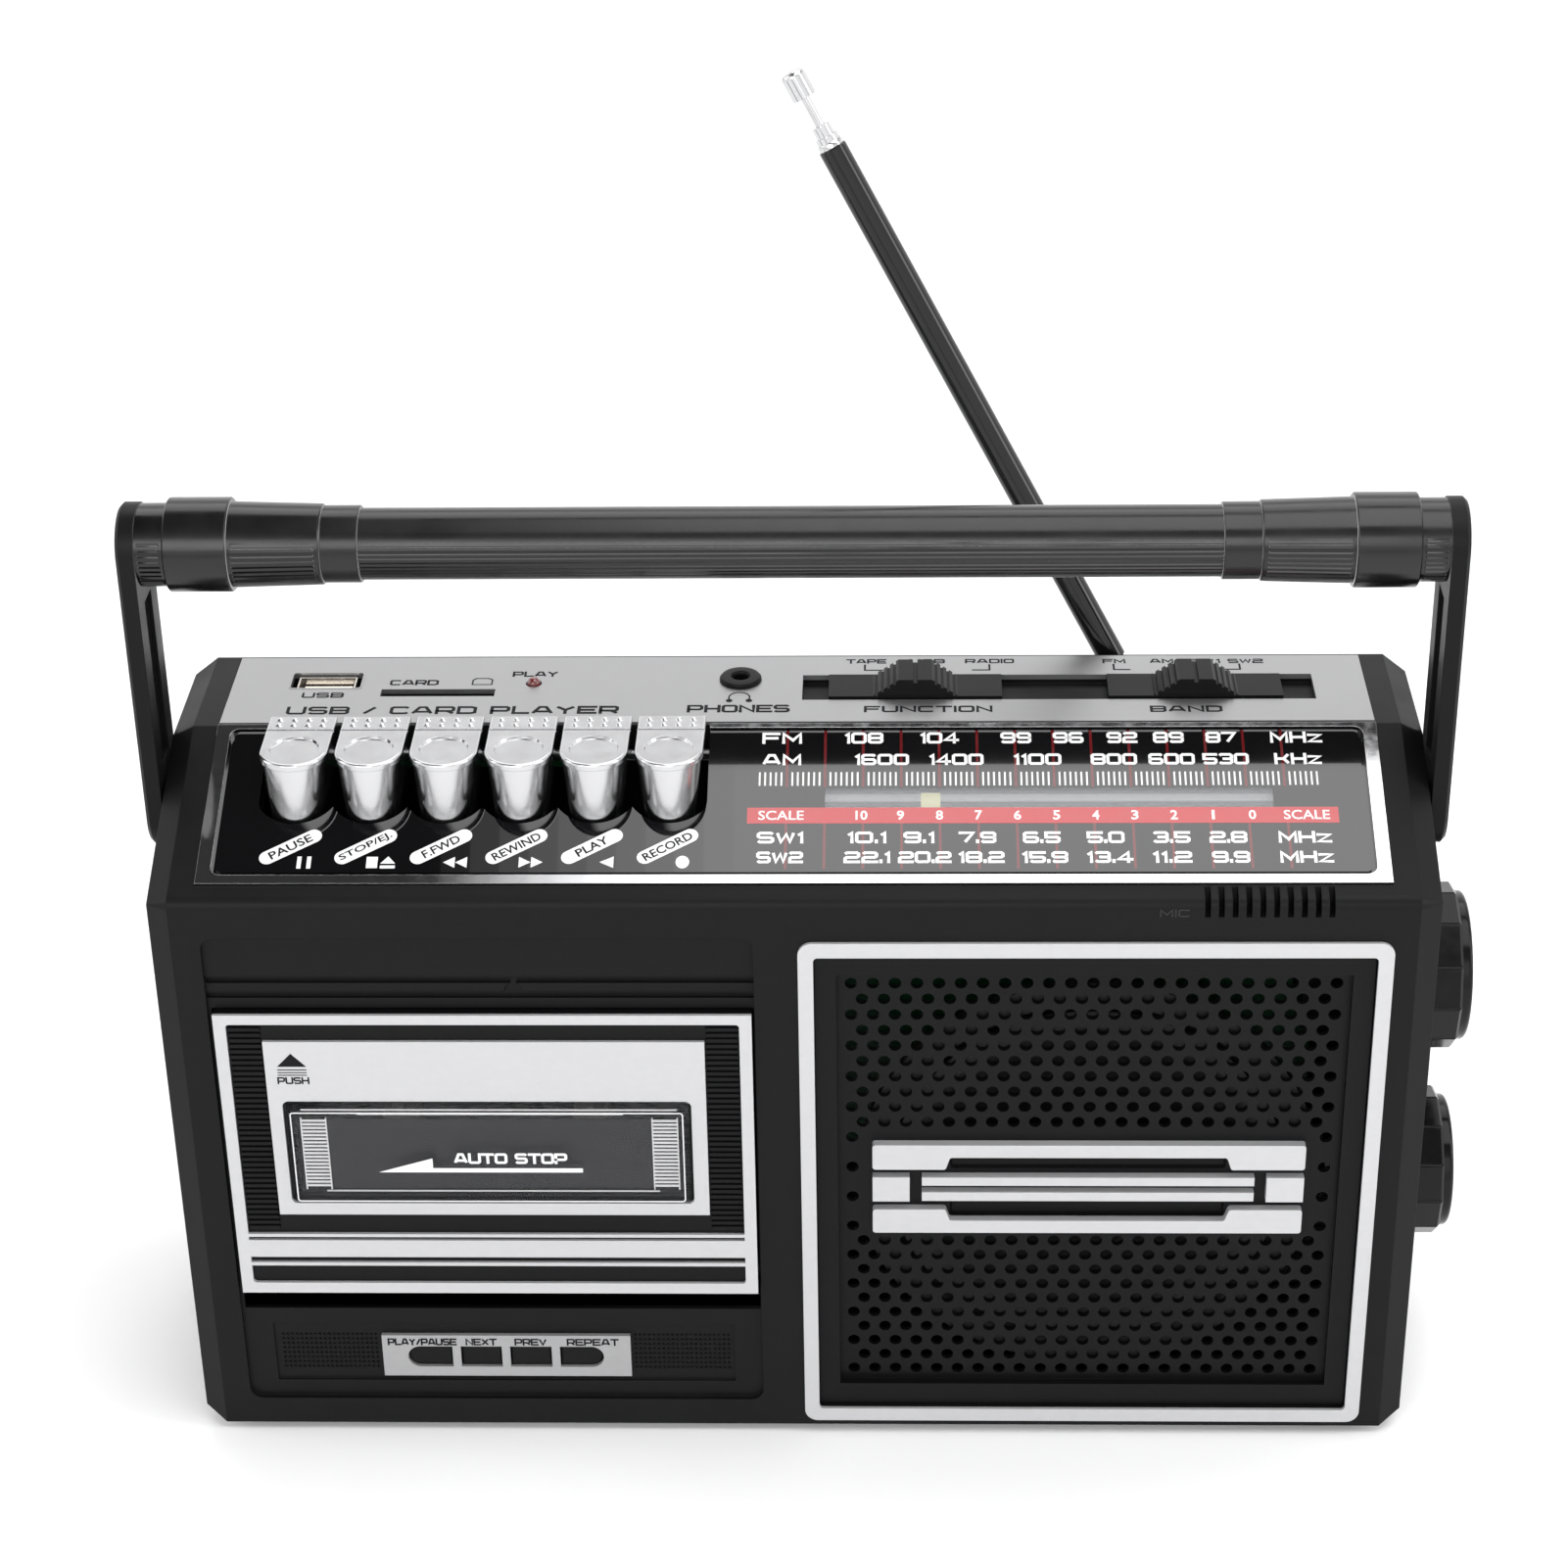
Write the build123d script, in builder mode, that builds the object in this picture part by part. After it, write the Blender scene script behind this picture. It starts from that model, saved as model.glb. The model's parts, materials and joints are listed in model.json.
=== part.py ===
from build123d import *
from math import atan2, cos, hypot, radians, sin
import os

# Portable radio cassette recorder with a card and stick player, a carrying handle and a
# telescopic aerial. Millimetres, +Z up, front face towards -Y. The origin is on the surface
# that the set stands on, under the centre of the cabinet.

# ---------------------------------------------------------------- driving dimensions
WIDTH, DEPTH, HEIGHT = 275.0, 78.0, 158.6  # cabinet alone
RIM, RIM_W = 2.0, 4.0                      # moulded rim that the cabinet stands on
FACE_H = 139.8                             # height of the upright front face
SLOPE_RUN = 44.8                           # depth of the sloping control panel
WALL = 2.5
DECK_WALL = 5.0                            # thicker wall under the control panel
BEVEL_X, BEVEL_Y = 4.9, 2.9                # bevel round both cabinet ends

FRONT, BACK = -DEPTH / 2, DEPTH / 2
BOTTOM, TOP = RIM, RIM + HEIGHT
SHOULDER = RIM + FACE_H
SEAM = FRONT + SLOPE_RUN                   # the two cabinet halves meet here
SLOPE = atan2(HEIGHT - FACE_H, SLOPE_RUN)
SLOPE_LEN = hypot(HEIGHT - FACE_H, SLOPE_RUN)
CEILING = TOP - DECK_WALL / cos(SLOPE)     # inside face of the top
SIDE = WIDTH / 2 - 3.0                     # inside face of each end

# control panel, measured along X and up the slope
PANEL_X, PANEL_LOW, PANEL_HIGH = 127.0, 4.9, SLOPE_LEN - 0.1
FRAME_SIDE, FRAME_LOW, FRAME_HIGH = 3.0, 2.3, 1.2
PANEL_T, PANEL_R = 2.5, 2.2
GROOVE_W, GROOVE_DEPTH = 1.0, 0.9           # shadow groove between the panel and its frame
POINTER_X, POINTER_W, POINTER_S, POINTER_H = 29.8, 4.2, 28.1, 4.6
POINTER_SLOT = (7.0, 103.4)

# piano keys
KEY_FIRST, KEY_PITCH, KEY_W = -107.5, 16.2, 14.8
KEY_TOP, KEY_BOTTOM = 164.0, 146.0
KEY_REAR, KEY_TIP = 4.0, -18.8
KEY_NOSE, KEY_LIP = KEY_TIP + KEY_W / 2, 1.5
SHAFT_Y, SHAFT_Z, SHAFT_R = 14.0, 149.5, 2.0
KEY_FOOT_W, KEY_FOOT_SETBACK = 10.6, 0.3      # the nose narrows towards its foot
KEY_DISH_R, KEY_DISH = 5.4, 0.5
WELL_FRONT, WELL_R = -19.3, 9.9
KEY_NAMES = ("pause_key", "stop_eject_key", "fast_forward_key", "rewind_key", "play_key", "record_key")

# top panel
TOP_Y, TOP_T = (7.2, BACK - 0.4), 1.2
TRACK_X, TRACK_Y, TRACK_DEPTH = (1.5, 115.4), (17.4, 29.3), 2.2
SLIDER_W, SLIDER_D, SLIDER_Y = 38.6, 10.6, 23.35
FUNCTION_X, BAND_X = 26.7, 88.9
FUNCTION_STEM_X = (FUNCTION_X - 9.0, FUNCTION_X + 9.0)
BAND_STEM_X = (BAND_X - 14.5, BAND_X + 9.0)
STICK_X, STICK_Y = (-113.8, -98.0), (23.6, 30.8)
CARD_X, CARD_Y = (-93.0, -67.4), (19.6, 23.0)
BOARD_Z = (143.0, 144.6)                   # player board under the top panel
LAMP = (-59.0, 25.7)
JACK = (-12.5, 27.2)
JACK_R, JACK_DEPTH = 1.8, 14.0

# cassette door
DOOR_X, DOOR_Z = (-125.2, -8.8), (40.1, 114.4)
DOOR_FRONT, DOOR_BACK = FRONT - 0.4, FRONT + 3.4
HINGE_Y, HINGE_Z, HINGE_R = -34.5, 43.5, 1.5
FIELD_X, FIELD_Z, FIELD_DEPTH, FIELD_R = (-126.3, -8.2), (9.0, 133.2), 1.2, 3.0
LOUVRES = ((117.4, 119.0), (121.2, 122.8))
NOTCH, NOTCH_R = (-59.9, 119.4), 1.9       # finger notch over the door
PLATE_X, PLATE_Z = (-114.9, -19.1), (61.8, 107.6)
WINDOW_X, WINDOW_Z = (-111.9, -22.4), (64.9, 92.1)
DOOR_STRIPS = ((55.6, 56.4), (50.1, 54.7), (47.7, 48.6))
FOIL, DOOR_EDGE = 0.8, 2.7

# cassette deck
CASSETTE_X = (DOOR_X[0] + DOOR_X[1]) / 2
HUB_SPACING, HUB_Z = 42.5, 77.3
DECK_Y, DECK_T = -18.0, 1.5
CAPSTAN = (-34.0, 103.0)
FLYWHEEL_R, PULLEY_R = 18.0, 4.0
MOTOR = (-104.0, 98.0)

# player keypad
STRIP_X, STRIP_Z, STRIP_DEPTH = (-119.7, -14.6), (13.4, 29.7), FIELD_DEPTH + 0.6
PAD_X, PAD_Z = (-95.1, -38.3), (15.0, 26.5)
BUTTONS = {
    "play_pause_button": (-89.0, -79.4),
    "next_button": (-76.9, -68.1),
    "previous_button": (-65.6, -56.7),
    "repeat_button": (-54.2, -44.8),
}
BUTTON_Z = (17.9, 23.1)
BUTTON_FACE = FRONT + 1.4
ROUND_ENDS = {"play_pause_button": -1, "repeat_button": 1}

# loudspeaker
SPEAKER_X, SPEAKER_Z = 64.5, 68.0
GRILLE_X, GRILLE_Z = (4.6, 124.4), (7.1, 128.6)
TRIM_X, TRIM_Z = (1.3, 127.7), (3.7, 132.2)
MESH_X, MESH_Z, MESH_Y, MESH_T = (9.4, 119.6), (13.0, 123.2), FRONT + 3.0, 1.4
HOLE_R, HOLE_COLS, HOLE_ROWS = 1.35, 23, 27
HOLE_DX, HOLE_DZ = 4.72, 4.0
PLAIN_ROWS = range(10, 17)                 # rows under the bars, with holes at the ends only
BARS_X, BARS_HALF, BAR_T = 64.5, 47.5, 2.0
NOTCH_HALF, SCOOP_Z = 30.4, ((71.6, 76.6), (58.0, 63.0))

# knobs on the right-hand end
TUNING_YZ, TUNING_R = (-2.0, 103.4), 18.7
VOLUME_YZ, VOLUME_R = (-2.0, 50.4), 17.1
KNOB_FACE = WIDTH / 2 + 11.5
KNOB_SHAFT_R, KNOB_SIDES = 3.0, 12

# handle
HANDLE_Y, PIVOT_Z, GRIP_Z = 1.0, 144.0, 207.0
ARM_IN, ARM_OUT, ARM_R = 138.2, 142.2, 9.2
PIVOT_R = 4.0

# aerial: swivel on the back of the cabinet, then a tilting, telescopic rod
AERIAL = (74.8, 44.2, 151.5)
AERIAL_AZIMUTH, AERIAL_RISE = 160.2, 59.5
BRACKET_Z, SWIVEL_R = (126.0, 141.0), 2.4
TUBE_START, TUBE_END = 6.0, 138.8
TUBE_RADII, TUBE_TAPER = (3.2, 2.70), 0.35
SECTION_RADII = ((2.62, 2.15), (2.07, 1.08))
ROD_R = 1.0
TIP_START, TIP_LONG, TIP_R = 151.1, 6.2, 2.75

# battery compartment for four R14 cells in a row
CELL_X, CELL_Y, CELL_Z = (-124.5, 82.5), (8.5, BACK - WALL), (BOTTOM + WALL, 34.0)
HATCH_X, HATCH_Z = (-121.7, 79.7), (6.3, 33.2)

# openings in the back
INLET_X, INLET_Z = (98.0, 119.0), (18.0, 30.5)
COOLING_SLOTS, COOLING_FIRST, COOLING_PITCH, COOLING_W = 14, -48.0, 5.2, 2.4
COOLING_Z = (70.0, 104.0)

RUN = 0.06                                 # radial clearance of a running fit
GAP = 0.4                                  # clearance round a part that moves

os.makedirs("parts", exist_ok=True)
pieces = {}


# ---------------------------------------------------------------- helpers
def block(x, y, z, mode=Mode.ADD):
    """A block that spans three ranges, each a pair of limits."""
    with Locations((sum(x) / 2, sum(y) / 2, sum(z) / 2)):
        Box(x[1] - x[0], y[1] - y[0], z[1] - z[0], mode=mode)


def rod(start, axis, radius, length, mode=Mode.ADD):
    """A cylinder that starts at a point and runs along an axis."""
    with Locations(Plane(origin=start, z_dir=axis)):
        Cylinder(radius, length, align=(Align.CENTER, Align.CENTER, Align.MIN), mode=mode)


def grown(limits, by):
    """A pair of limits moved apart by the same amount at each end."""
    return (limits[0] - by, limits[1] + by)


def on_slope(offset=0.0):
    """The plane of the control panel: X, then up the slope, raised by an offset."""
    return Plane(
        origin=(0, FRONT - offset * sin(SLOPE), SHOULDER + offset * cos(SLOPE)),
        x_dir=(1, 0, 0),
        z_dir=(0, -sin(SLOPE), cos(SLOPE)),
    )


def slope_block(x, s, depth, mode=Mode.ADD):
    """A block on the control panel: limits along X, up the slope and through it."""
    with Locations(on_slope().location * Location((sum(x) / 2, sum(s) / 2, sum(depth) / 2))):
        Box(x[1] - x[0], s[1] - s[0], depth[1] - depth[0], mode=mode)


def button_blank(name, y, margin=0.0, mode=Mode.ADD):
    """The outline of a keypad button run along Y; the two outer buttons have a round outer end."""
    x, z = grown(BUTTONS[name], margin), grown(BUTTON_Z, margin)
    side, radius = ROUND_ENDS.get(name, 0), (z[1] - z[0]) / 2
    if side:
        middle = x[0] + radius if side < 0 else x[1] - radius
        x = (middle, x[1]) if side < 0 else (x[0], middle)
        rod((middle, y[0], sum(z) / 2), (0, 1, 0), radius, y[1] - y[0], mode=mode)
    block(x, y, z, mode=mode)


def aerial_plane(distance=0.0):
    """A plane square to the aerial, a distance along it, with X along its tilting pin."""
    turn, rise = radians(AERIAL_AZIMUTH), radians(AERIAL_RISE)
    way = (cos(turn) * cos(rise), sin(turn) * cos(rise), sin(rise))
    origin = tuple(a + distance * b for a, b in zip(AERIAL, way))
    return Plane(origin=origin, x_dir=(-sin(turn), cos(turn), 0), z_dir=way)


# ---------------------------------------------------------------- cabinet
with BuildPart() as shell:
    with BuildSketch(Plane.YZ) as outline:
        Polygon((FRONT, BOTTOM), (FRONT, SHOULDER), (SEAM, TOP), (BACK, TOP), (BACK, BOTTOM), align=None)
        fillet(outline.vertices().group_by(Axis.X)[0].sort_by(Axis.Y)[-1], 3.0)
    extrude(amount=WIDTH / 2, both=True)
    for end in (shell.faces().sort_by(Axis.X)[0], shell.faces().sort_by(Axis.X)[-1]):
        chamfer(end.edges(), BEVEL_Y, BEVEL_X, reference=end)
    with BuildSketch(Plane.YZ):
        drop = DECK_WALL / cos(SLOPE)
        Polygon(
            (FRONT + WALL, BOTTOM + WALL),
            (FRONT + WALL, SHOULDER + WALL * sin(SLOPE) / cos(SLOPE) - drop),
            (SEAM, CEILING),
            (BACK - WALL, CEILING),
            (BACK - WALL, BOTTOM + WALL),
            align=None,
        )
    extrude(amount=SIDE, both=True, mode=Mode.SUBTRACT)

POSTS = [(x, z) for x in (-129.5, 129.5) for z in (12.0, 128.0)]
POST_R, SCREW_R = 3.6, 1.4


def standing_rim():
    """The ridge round the underside, set in from the edges."""
    x, y = (-128.0, 128.0), (FRONT + 4, BACK - 4)
    block(x, y, (0, BOTTOM + 0.1))
    block(grown(x, -RIM_W), grown(y, -RIM_W), (-1, BOTTOM), mode=Mode.SUBTRACT)


with BuildPart() as key_well:
    with BuildSketch(Plane.XY.offset(KEY_BOTTOM - 12)) as mouth:
        width = KEY_PITCH * 5 + KEY_W + 1.4
        front, rear = WELL_FRONT + WELL_R, SEAM + 0.01
        middle = KEY_FIRST + KEY_PITCH * 2.5
        with Locations(*[(KEY_FIRST + KEY_PITCH * i, front) for i in range(6)]):
            Circle(WELL_R)
        with Locations((middle, (front + rear) / 2)):
            Rectangle(width, rear - front)
        with Locations((middle, rear - 20)):
            Rectangle(width, 40, mode=Mode.INTERSECT)
        ends = [mouth.vertices().group_by(Axis.X)[i].sort_by(Axis.Y)[0] for i in (0, -1)]
        fillet(ends, 4.0)
    extrude(amount=KEY_TOP - KEY_BOTTOM + 20)

with BuildPart() as front_cabinet:
    add(shell.part)
    standing_rim()
    split(bisect_by=Plane(origin=(0, SEAM, 0), z_dir=(0, 1, 0)), keep=Keep.BOTTOM)
    for x, z in POSTS:
        rod((x, FRONT + 1, z), (0, 1, 0), POST_R, SEAM - FRONT - 1)
        rod((x, -10, z), (0, 1, 0), SCREW_R + 0.05, 20, mode=Mode.SUBTRACT)
    # recessed field with the louvres, the door opening and the keypad strip
    with BuildSketch(Plane.XZ.offset(-FRONT + 1)) as field:
        with Locations((sum(FIELD_X) / 2, sum(FIELD_Z) / 2)):
            RectangleRounded(FIELD_X[1] - FIELD_X[0], FIELD_Z[1] - FIELD_Z[0], FIELD_R)
    extrude(amount=-FIELD_DEPTH - 1, mode=Mode.SUBTRACT)
    block(grown(DOOR_X, 0.4), (FRONT - 1, FRONT + WALL + 1), (34.0, DOOR_Z[1] + 0.4), mode=Mode.SUBTRACT)
    for louvre in LOUVRES:
        block(FIELD_X, (FRONT, FRONT + FIELD_DEPTH + 0.9), louvre, mode=Mode.SUBTRACT)
    rod((NOTCH[0], FRONT - 1, NOTCH[1]), (0, 1, 0), NOTCH_R, FIELD_DEPTH + 1.9, mode=Mode.SUBTRACT)
    block(STRIP_X, (FRONT, FRONT + STRIP_DEPTH), STRIP_Z, mode=Mode.SUBTRACT)
    for name in BUTTONS:
        button_blank(name, (FRONT, FRONT + 4), 0.3, mode=Mode.SUBTRACT)
    # loudspeaker opening
    block(GRILLE_X, (FRONT - 1, FRONT + WALL + 1), GRILLE_Z, mode=Mode.SUBTRACT)
    # seat of the control panel, key well, and the slot that the pointer's stem runs in
    seat = (PANEL_LOW - 0.1, SLOPE_LEN + 1)
    slope_block(grown((-PANEL_X, PANEL_X), 0.1), seat, (-PANEL_T, 4), mode=Mode.SUBTRACT)
    add(key_well.part, mode=Mode.SUBTRACT)
    slope_block(grown(POINTER_SLOT, 1.0), (POINTER_S - 1.1, POINTER_S + 1.1), (-12, 0), mode=Mode.SUBTRACT)
    # sound holes of the built-in microphone, across the rounded front edge
    for i in range(10):
        block((87.3 + 2.9 * i, 88.5 + 2.9 * i), (FRONT - 1, FRONT + 4), (138.2, 144.0), mode=Mode.SUBTRACT)
    # lugs for the cassette door's hinge pins
    for low in (DOOR_X[0] - 4.3, DOOR_X[1] + 1.8):
        block((low, low + 2.5), (FRONT + WALL - 0.5, HINGE_Y + 3.2), (HINGE_Z - 3.2, HINGE_Z + 3.2))
        rod((low - 1, HINGE_Y, HINGE_Z), (1, 0, 0), HINGE_R + RUN, 5, mode=Mode.SUBTRACT)
    # bearings of the handle in both ends, and of the two knobs in the right-hand end
    rod((-WIDTH, HANDLE_Y, PIVOT_Z), (1, 0, 0), PIVOT_R + RUN, WIDTH * 2, mode=Mode.SUBTRACT)
    for (y, z) in (TUNING_YZ, VOLUME_YZ):
        rod((SIDE - 5, y, z), (1, 0, 0), KNOB_SHAFT_R + 0.5, 20, mode=Mode.SUBTRACT)
pieces["front_cabinet"] = front_cabinet

with BuildPart() as back_cabinet:
    add(shell.part)
    standing_rim()
    split(bisect_by=Plane(origin=(0, SEAM, 0), z_dir=(0, 1, 0)), keep=Keep.TOP)
    for x, z in POSTS:
        rod((x, SEAM, z), (0, 1, 0), POST_R, BACK - SEAM - 1)
        rod((x, SEAM - 1, z), (0, 1, 0), SCREW_R + 0.05, 40, mode=Mode.SUBTRACT)
        rod((x, BACK - 2.0, z), (0, 1, 0), 3.2, 3, mode=Mode.SUBTRACT)
    # seat of the top panel and what comes up through it
    block(grown((-PANEL_X, PANEL_X), 0.1), grown(TOP_Y, 0.1), (TOP - TOP_T, TOP + 1), mode=Mode.SUBTRACT)
    block(TRACK_X, TRACK_Y, (TOP - TRACK_DEPTH, TOP), mode=Mode.SUBTRACT)
    for x in (FUNCTION_STEM_X, BAND_STEM_X):
        block(x, grown((SLIDER_Y, SLIDER_Y), 2.0), (CEILING - 1, TOP), mode=Mode.SUBTRACT)
    for x, y in ((STICK_X, STICK_Y), (CARD_X, CARD_Y)):
        block(x, y, (CEILING - 1, TOP), mode=Mode.SUBTRACT)
    rod((*LAMP, CEILING - 1), (0, 0, 1), 1.8, 8, mode=Mode.SUBTRACT)
    rod((*JACK, CEILING - 1), (0, 0, 1), 4.75, 8, mode=Mode.SUBTRACT)
    # brackets that carry the key shaft
    for low in (-118.8, -17.6):
        block((low, low + 2.4), (SHAFT_Y - 4.5, SHAFT_Y + 4.5), (SHAFT_Z - 4, CEILING + 0.5))
        rod((low - 1, SHAFT_Y, SHAFT_Z), (1, 0, 0), SHAFT_R + 0.03, 5, mode=Mode.SUBTRACT)
    # battery compartment, with its mouth in the back
    block(grown(CELL_X, 1.5), (CELL_Y[0] - 1.5, BACK - 1), (BOTTOM + 1, CELL_Z[1] + 1.5))
    block(CELL_X, (CELL_Y[0], BACK - WALL), CELL_Z, mode=Mode.SUBTRACT)
    mouth_z = (HATCH_Z[0] - 0.6, HATCH_Z[1] + GAP)
    block(grown(HATCH_X, GAP), (BACK - WALL - 1, BACK + 1), mouth_z, mode=Mode.SUBTRACT)
    # mains inlet opening and cooling slots
    block(INLET_X, (BACK - 5, BACK + 1), INLET_Z, mode=Mode.SUBTRACT)
    for i in range(COOLING_SLOTS):
        low = COOLING_FIRST + COOLING_PITCH * i
        block((low, low + COOLING_W), (BACK - 4, BACK + 1), COOLING_Z, mode=Mode.SUBTRACT)
pieces["back_cabinet"] = back_cabinet

with BuildPart() as case_screws:
    for x, z in POSTS:
        rod((x, -6, z), (0, 1, 0), SCREW_R, BACK - 2.0 + 6)
        rod((x, BACK - 2.0, z), (0, 1, 0), 2.9, 1.6)
        block((x - 2.2, x + 2.2), (BACK - 1.2, BACK), (z - 0.4, z + 0.4), mode=Mode.SUBTRACT)
        block((x - 0.4, x + 0.4), (BACK - 1.2, BACK), (z - 2.2, z + 2.2), mode=Mode.SUBTRACT)
pieces["case_screws"] = case_screws

# ---------------------------------------------------------------- control panel and dial
def panel_slab(margin, depth, mode=Mode.ADD):
    """A round-cornered slab over the control panel, inside its frame by a margin."""
    x = grown((-PANEL_X + FRAME_SIDE, PANEL_X - FRAME_SIDE), -margin)
    s = grown((PANEL_LOW + FRAME_LOW, PANEL_HIGH - FRAME_HIGH), -margin)
    with BuildSketch(on_slope(depth[0])) as outline:
        with Locations((sum(x) / 2, sum(s) / 2)):
            RectangleRounded(x[1] - x[0], s[1] - s[0], PANEL_R - margin)
    extrude(outline.sketch, amount=depth[1] - depth[0], mode=mode)


with BuildPart() as control_frame:
    slope_block((-PANEL_X, PANEL_X), (PANEL_LOW, PANEL_HIGH), (-PANEL_T, 0.6))
    panel_slab(0.0, (-PANEL_T - 1, 2), mode=Mode.SUBTRACT)
    add(key_well.part, mode=Mode.SUBTRACT)
    block((-WIDTH, WIDTH), (SEAM - 0.05, BACK), (BOTTOM, TOP + 9), mode=Mode.SUBTRACT)
pieces["control_frame"] = control_frame

with BuildPart() as control_panel:
    panel_slab(0.0, (-PANEL_T, -GROOVE_DEPTH))
    panel_slab(GROOVE_W, (-PANEL_T, 0))
    add(key_well.part, mode=Mode.SUBTRACT)
    slope_block(POINTER_SLOT, (POINTER_S - 2.7, POINTER_S + 2.7), (-4, 1), mode=Mode.SUBTRACT)
pieces["control_panel"] = control_panel

with BuildPart() as dial_window:
    slope_block(POINTER_SLOT, (POINTER_S - 2.7, POINTER_S + 2.7), (-0.8, 0))
pieces["dial_window"] = dial_window

with BuildPart() as dial_pointer:
    x = (POINTER_X - POINTER_W / 2, POINTER_X + POINTER_W / 2)
    slope_block(x, (POINTER_S - POINTER_H / 2, POINTER_S + POINTER_H / 2), (-2.1, -1.2))
    slope_block((POINTER_X - 1.5, POINTER_X + 1.5), (POINTER_S - 0.7, POINTER_S + 0.7), (-9.0, -2.0))
    slope_block((POINTER_X - 4, POINTER_X + 4), (POINTER_S - 2.5, POINTER_S + 2.5), (-9.0, -7.6))
pieces["dial_pointer"] = dial_pointer

# ---------------------------------------------------------------- piano keys
with BuildPart() as key_shaft:
    rod((-119.5, SHAFT_Y, SHAFT_Z), (1, 0, 0), SHAFT_R, 105.0)
pieces["key_shaft"] = key_shaft


def piano_key(x):
    """A round-nosed key cap with a finger dish and a ribbed heel, on a lever that turns on the shaft."""
    with BuildPart() as key:
        for level, width, tip in (
            (KEY_BOTTOM, KEY_FOOT_W, KEY_TIP + KEY_FOOT_SETBACK),
            (KEY_TOP - KEY_LIP, KEY_W - 1.0, KEY_TIP + 0.5),
        ):
            with BuildSketch(Plane.XY.offset(level)):
                with Locations((x, (tip + width / 2 + KEY_REAR) / 2)):
                    Rectangle(width, KEY_REAR - tip - width / 2)
                with Locations((x, tip + width / 2)):
                    Circle(width / 2)
        loft()
        with BuildSketch(Plane.XY.offset(KEY_TOP - KEY_LIP)):
            with Locations((x, (KEY_NOSE + KEY_REAR) / 2)):
                Rectangle(KEY_W, KEY_REAR - KEY_NOSE)
            with Locations((x, KEY_NOSE)):
                Circle(KEY_W / 2)
        extrude(amount=KEY_LIP)
        fillet(key.faces().sort_by(Axis.Z)[-1].edges(), 0.6)
        with BuildSketch(Plane.XY.offset(KEY_TOP)):
            with Locations((x, KEY_NOSE + 0.5)):
                Circle(KEY_DISH_R)
        extrude(amount=-KEY_DISH, taper=35, mode=Mode.SUBTRACT)
        groove_x = grown((x, x), KEY_W / 2 + 1)
        block(groove_x, (-2.9, -2.2), (KEY_TOP - 0.5, KEY_TOP + 1), mode=Mode.SUBTRACT)
        for i in range(4):
            for y in (-0.4, 2.0):
                with Locations((x - 4.8 + 3.2 * i, y, KEY_TOP - 0.5)):
                    Sphere(1.0)
        block((x - 2.5, x + 2.5), (KEY_REAR - 1, SHAFT_Y), (SHAFT_Z - 3.5, SHAFT_Z + 3.5))
        rod((x - 2.5, SHAFT_Y, SHAFT_Z), (1, 0, 0), 3.9, 5.0)
        rod((x - 5, SHAFT_Y, SHAFT_Z), (1, 0, 0), SHAFT_R + RUN, 10, mode=Mode.SUBTRACT)
    return key


for number, name in enumerate(KEY_NAMES):
    pieces[name] = piano_key(KEY_FIRST + KEY_PITCH * number)

# ---------------------------------------------------------------- top panel, switches and sockets
with BuildPart() as top_panel:
    block((-PANEL_X, PANEL_X), TOP_Y, (TOP - TOP_T, TOP))
    block(TRACK_X, TRACK_Y, (TOP - 3, TOP + 1), mode=Mode.SUBTRACT)
    block(STICK_X, STICK_Y, (TOP - 3, TOP + 1), mode=Mode.SUBTRACT)
    block(CARD_X, CARD_Y, (TOP - 3, TOP + 1), mode=Mode.SUBTRACT)
    rod((*LAMP, TOP - 3), (0, 0, 1), 1.8, 6, mode=Mode.SUBTRACT)
    rod((*JACK, TOP - 3), (0, 0, 1), 4.75, 6, mode=Mode.SUBTRACT)
pieces["top_panel"] = top_panel


def slider(x):
    """A flat slide button with a ribbed finger hump and a stem that reaches the switch below."""
    base, hump, crest = TOP - TRACK_DEPTH + 0.3, 9.7, 3.7
    low, high = TOP + 0.5, TOP + 4.4
    with BuildPart() as button:
        block(grown((x, x), SLIDER_W / 2), grown((SLIDER_Y, SLIDER_Y), SLIDER_D / 2), (base, low))
        with BuildSketch(Plane.XZ.offset(-(SLIDER_Y + 5.0))):
            Polygon(
                (x - hump, low - 0.2), (x + hump, low - 0.2), (x + crest, high), (x - crest, high), align=None
            )
        extrude(amount=10.0)
        for i in range(4):
            for side in (-1, 1):
                at = x + side * (crest + 0.9 + 1.35 * i)
                level = high - 0.65 - (high - low) * (0.9 + 1.35 * i) / (hump - crest)
                groove = grown((at, at), 0.3)
                block(groove, grown((SLIDER_Y, SLIDER_Y), 6), (level, level + 2), mode=Mode.SUBTRACT)
        block((x - 0.5, x + 0.5), (SLIDER_Y - 6, SLIDER_Y + 6), (high - 0.8, high + 1), mode=Mode.SUBTRACT)
        block((x - 3, x + 3), (SLIDER_Y - 1.5, SLIDER_Y + 1.5), (149.5, base + 0.2))
    return button


pieces["function_slider"] = slider(FUNCTION_X)
pieces["band_slider"] = slider(BAND_X)

with BuildPart() as slide_switches:
    for x in (FUNCTION_STEM_X, BAND_STEM_X):
        block(grown(x, 3.0), grown((SLIDER_Y, SLIDER_Y), 5.0), (143.0, 151.5))
        block(x, grown((SLIDER_Y, SLIDER_Y), 2.0), (148.8, 152), mode=Mode.SUBTRACT)
pieces["slide_switches"] = slide_switches

with BuildPart() as usb_socket:
    x, y = sum(STICK_X) / 2, sum(STICK_Y) / 2
    block((x - 6.55, x + 6.55), (y - 2.85, y + 2.85), (BOARD_Z[1], TOP - 0.6))
    block((x - 6.2, x + 6.2), (y - 2.5, y + 2.5), (146.0, TOP), mode=Mode.SUBTRACT)
    block((x - 5.4, x + 5.4), (y + 0.2, y + 1.9), (145.5, TOP - 2.4))
pieces["usb_socket"] = usb_socket

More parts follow.
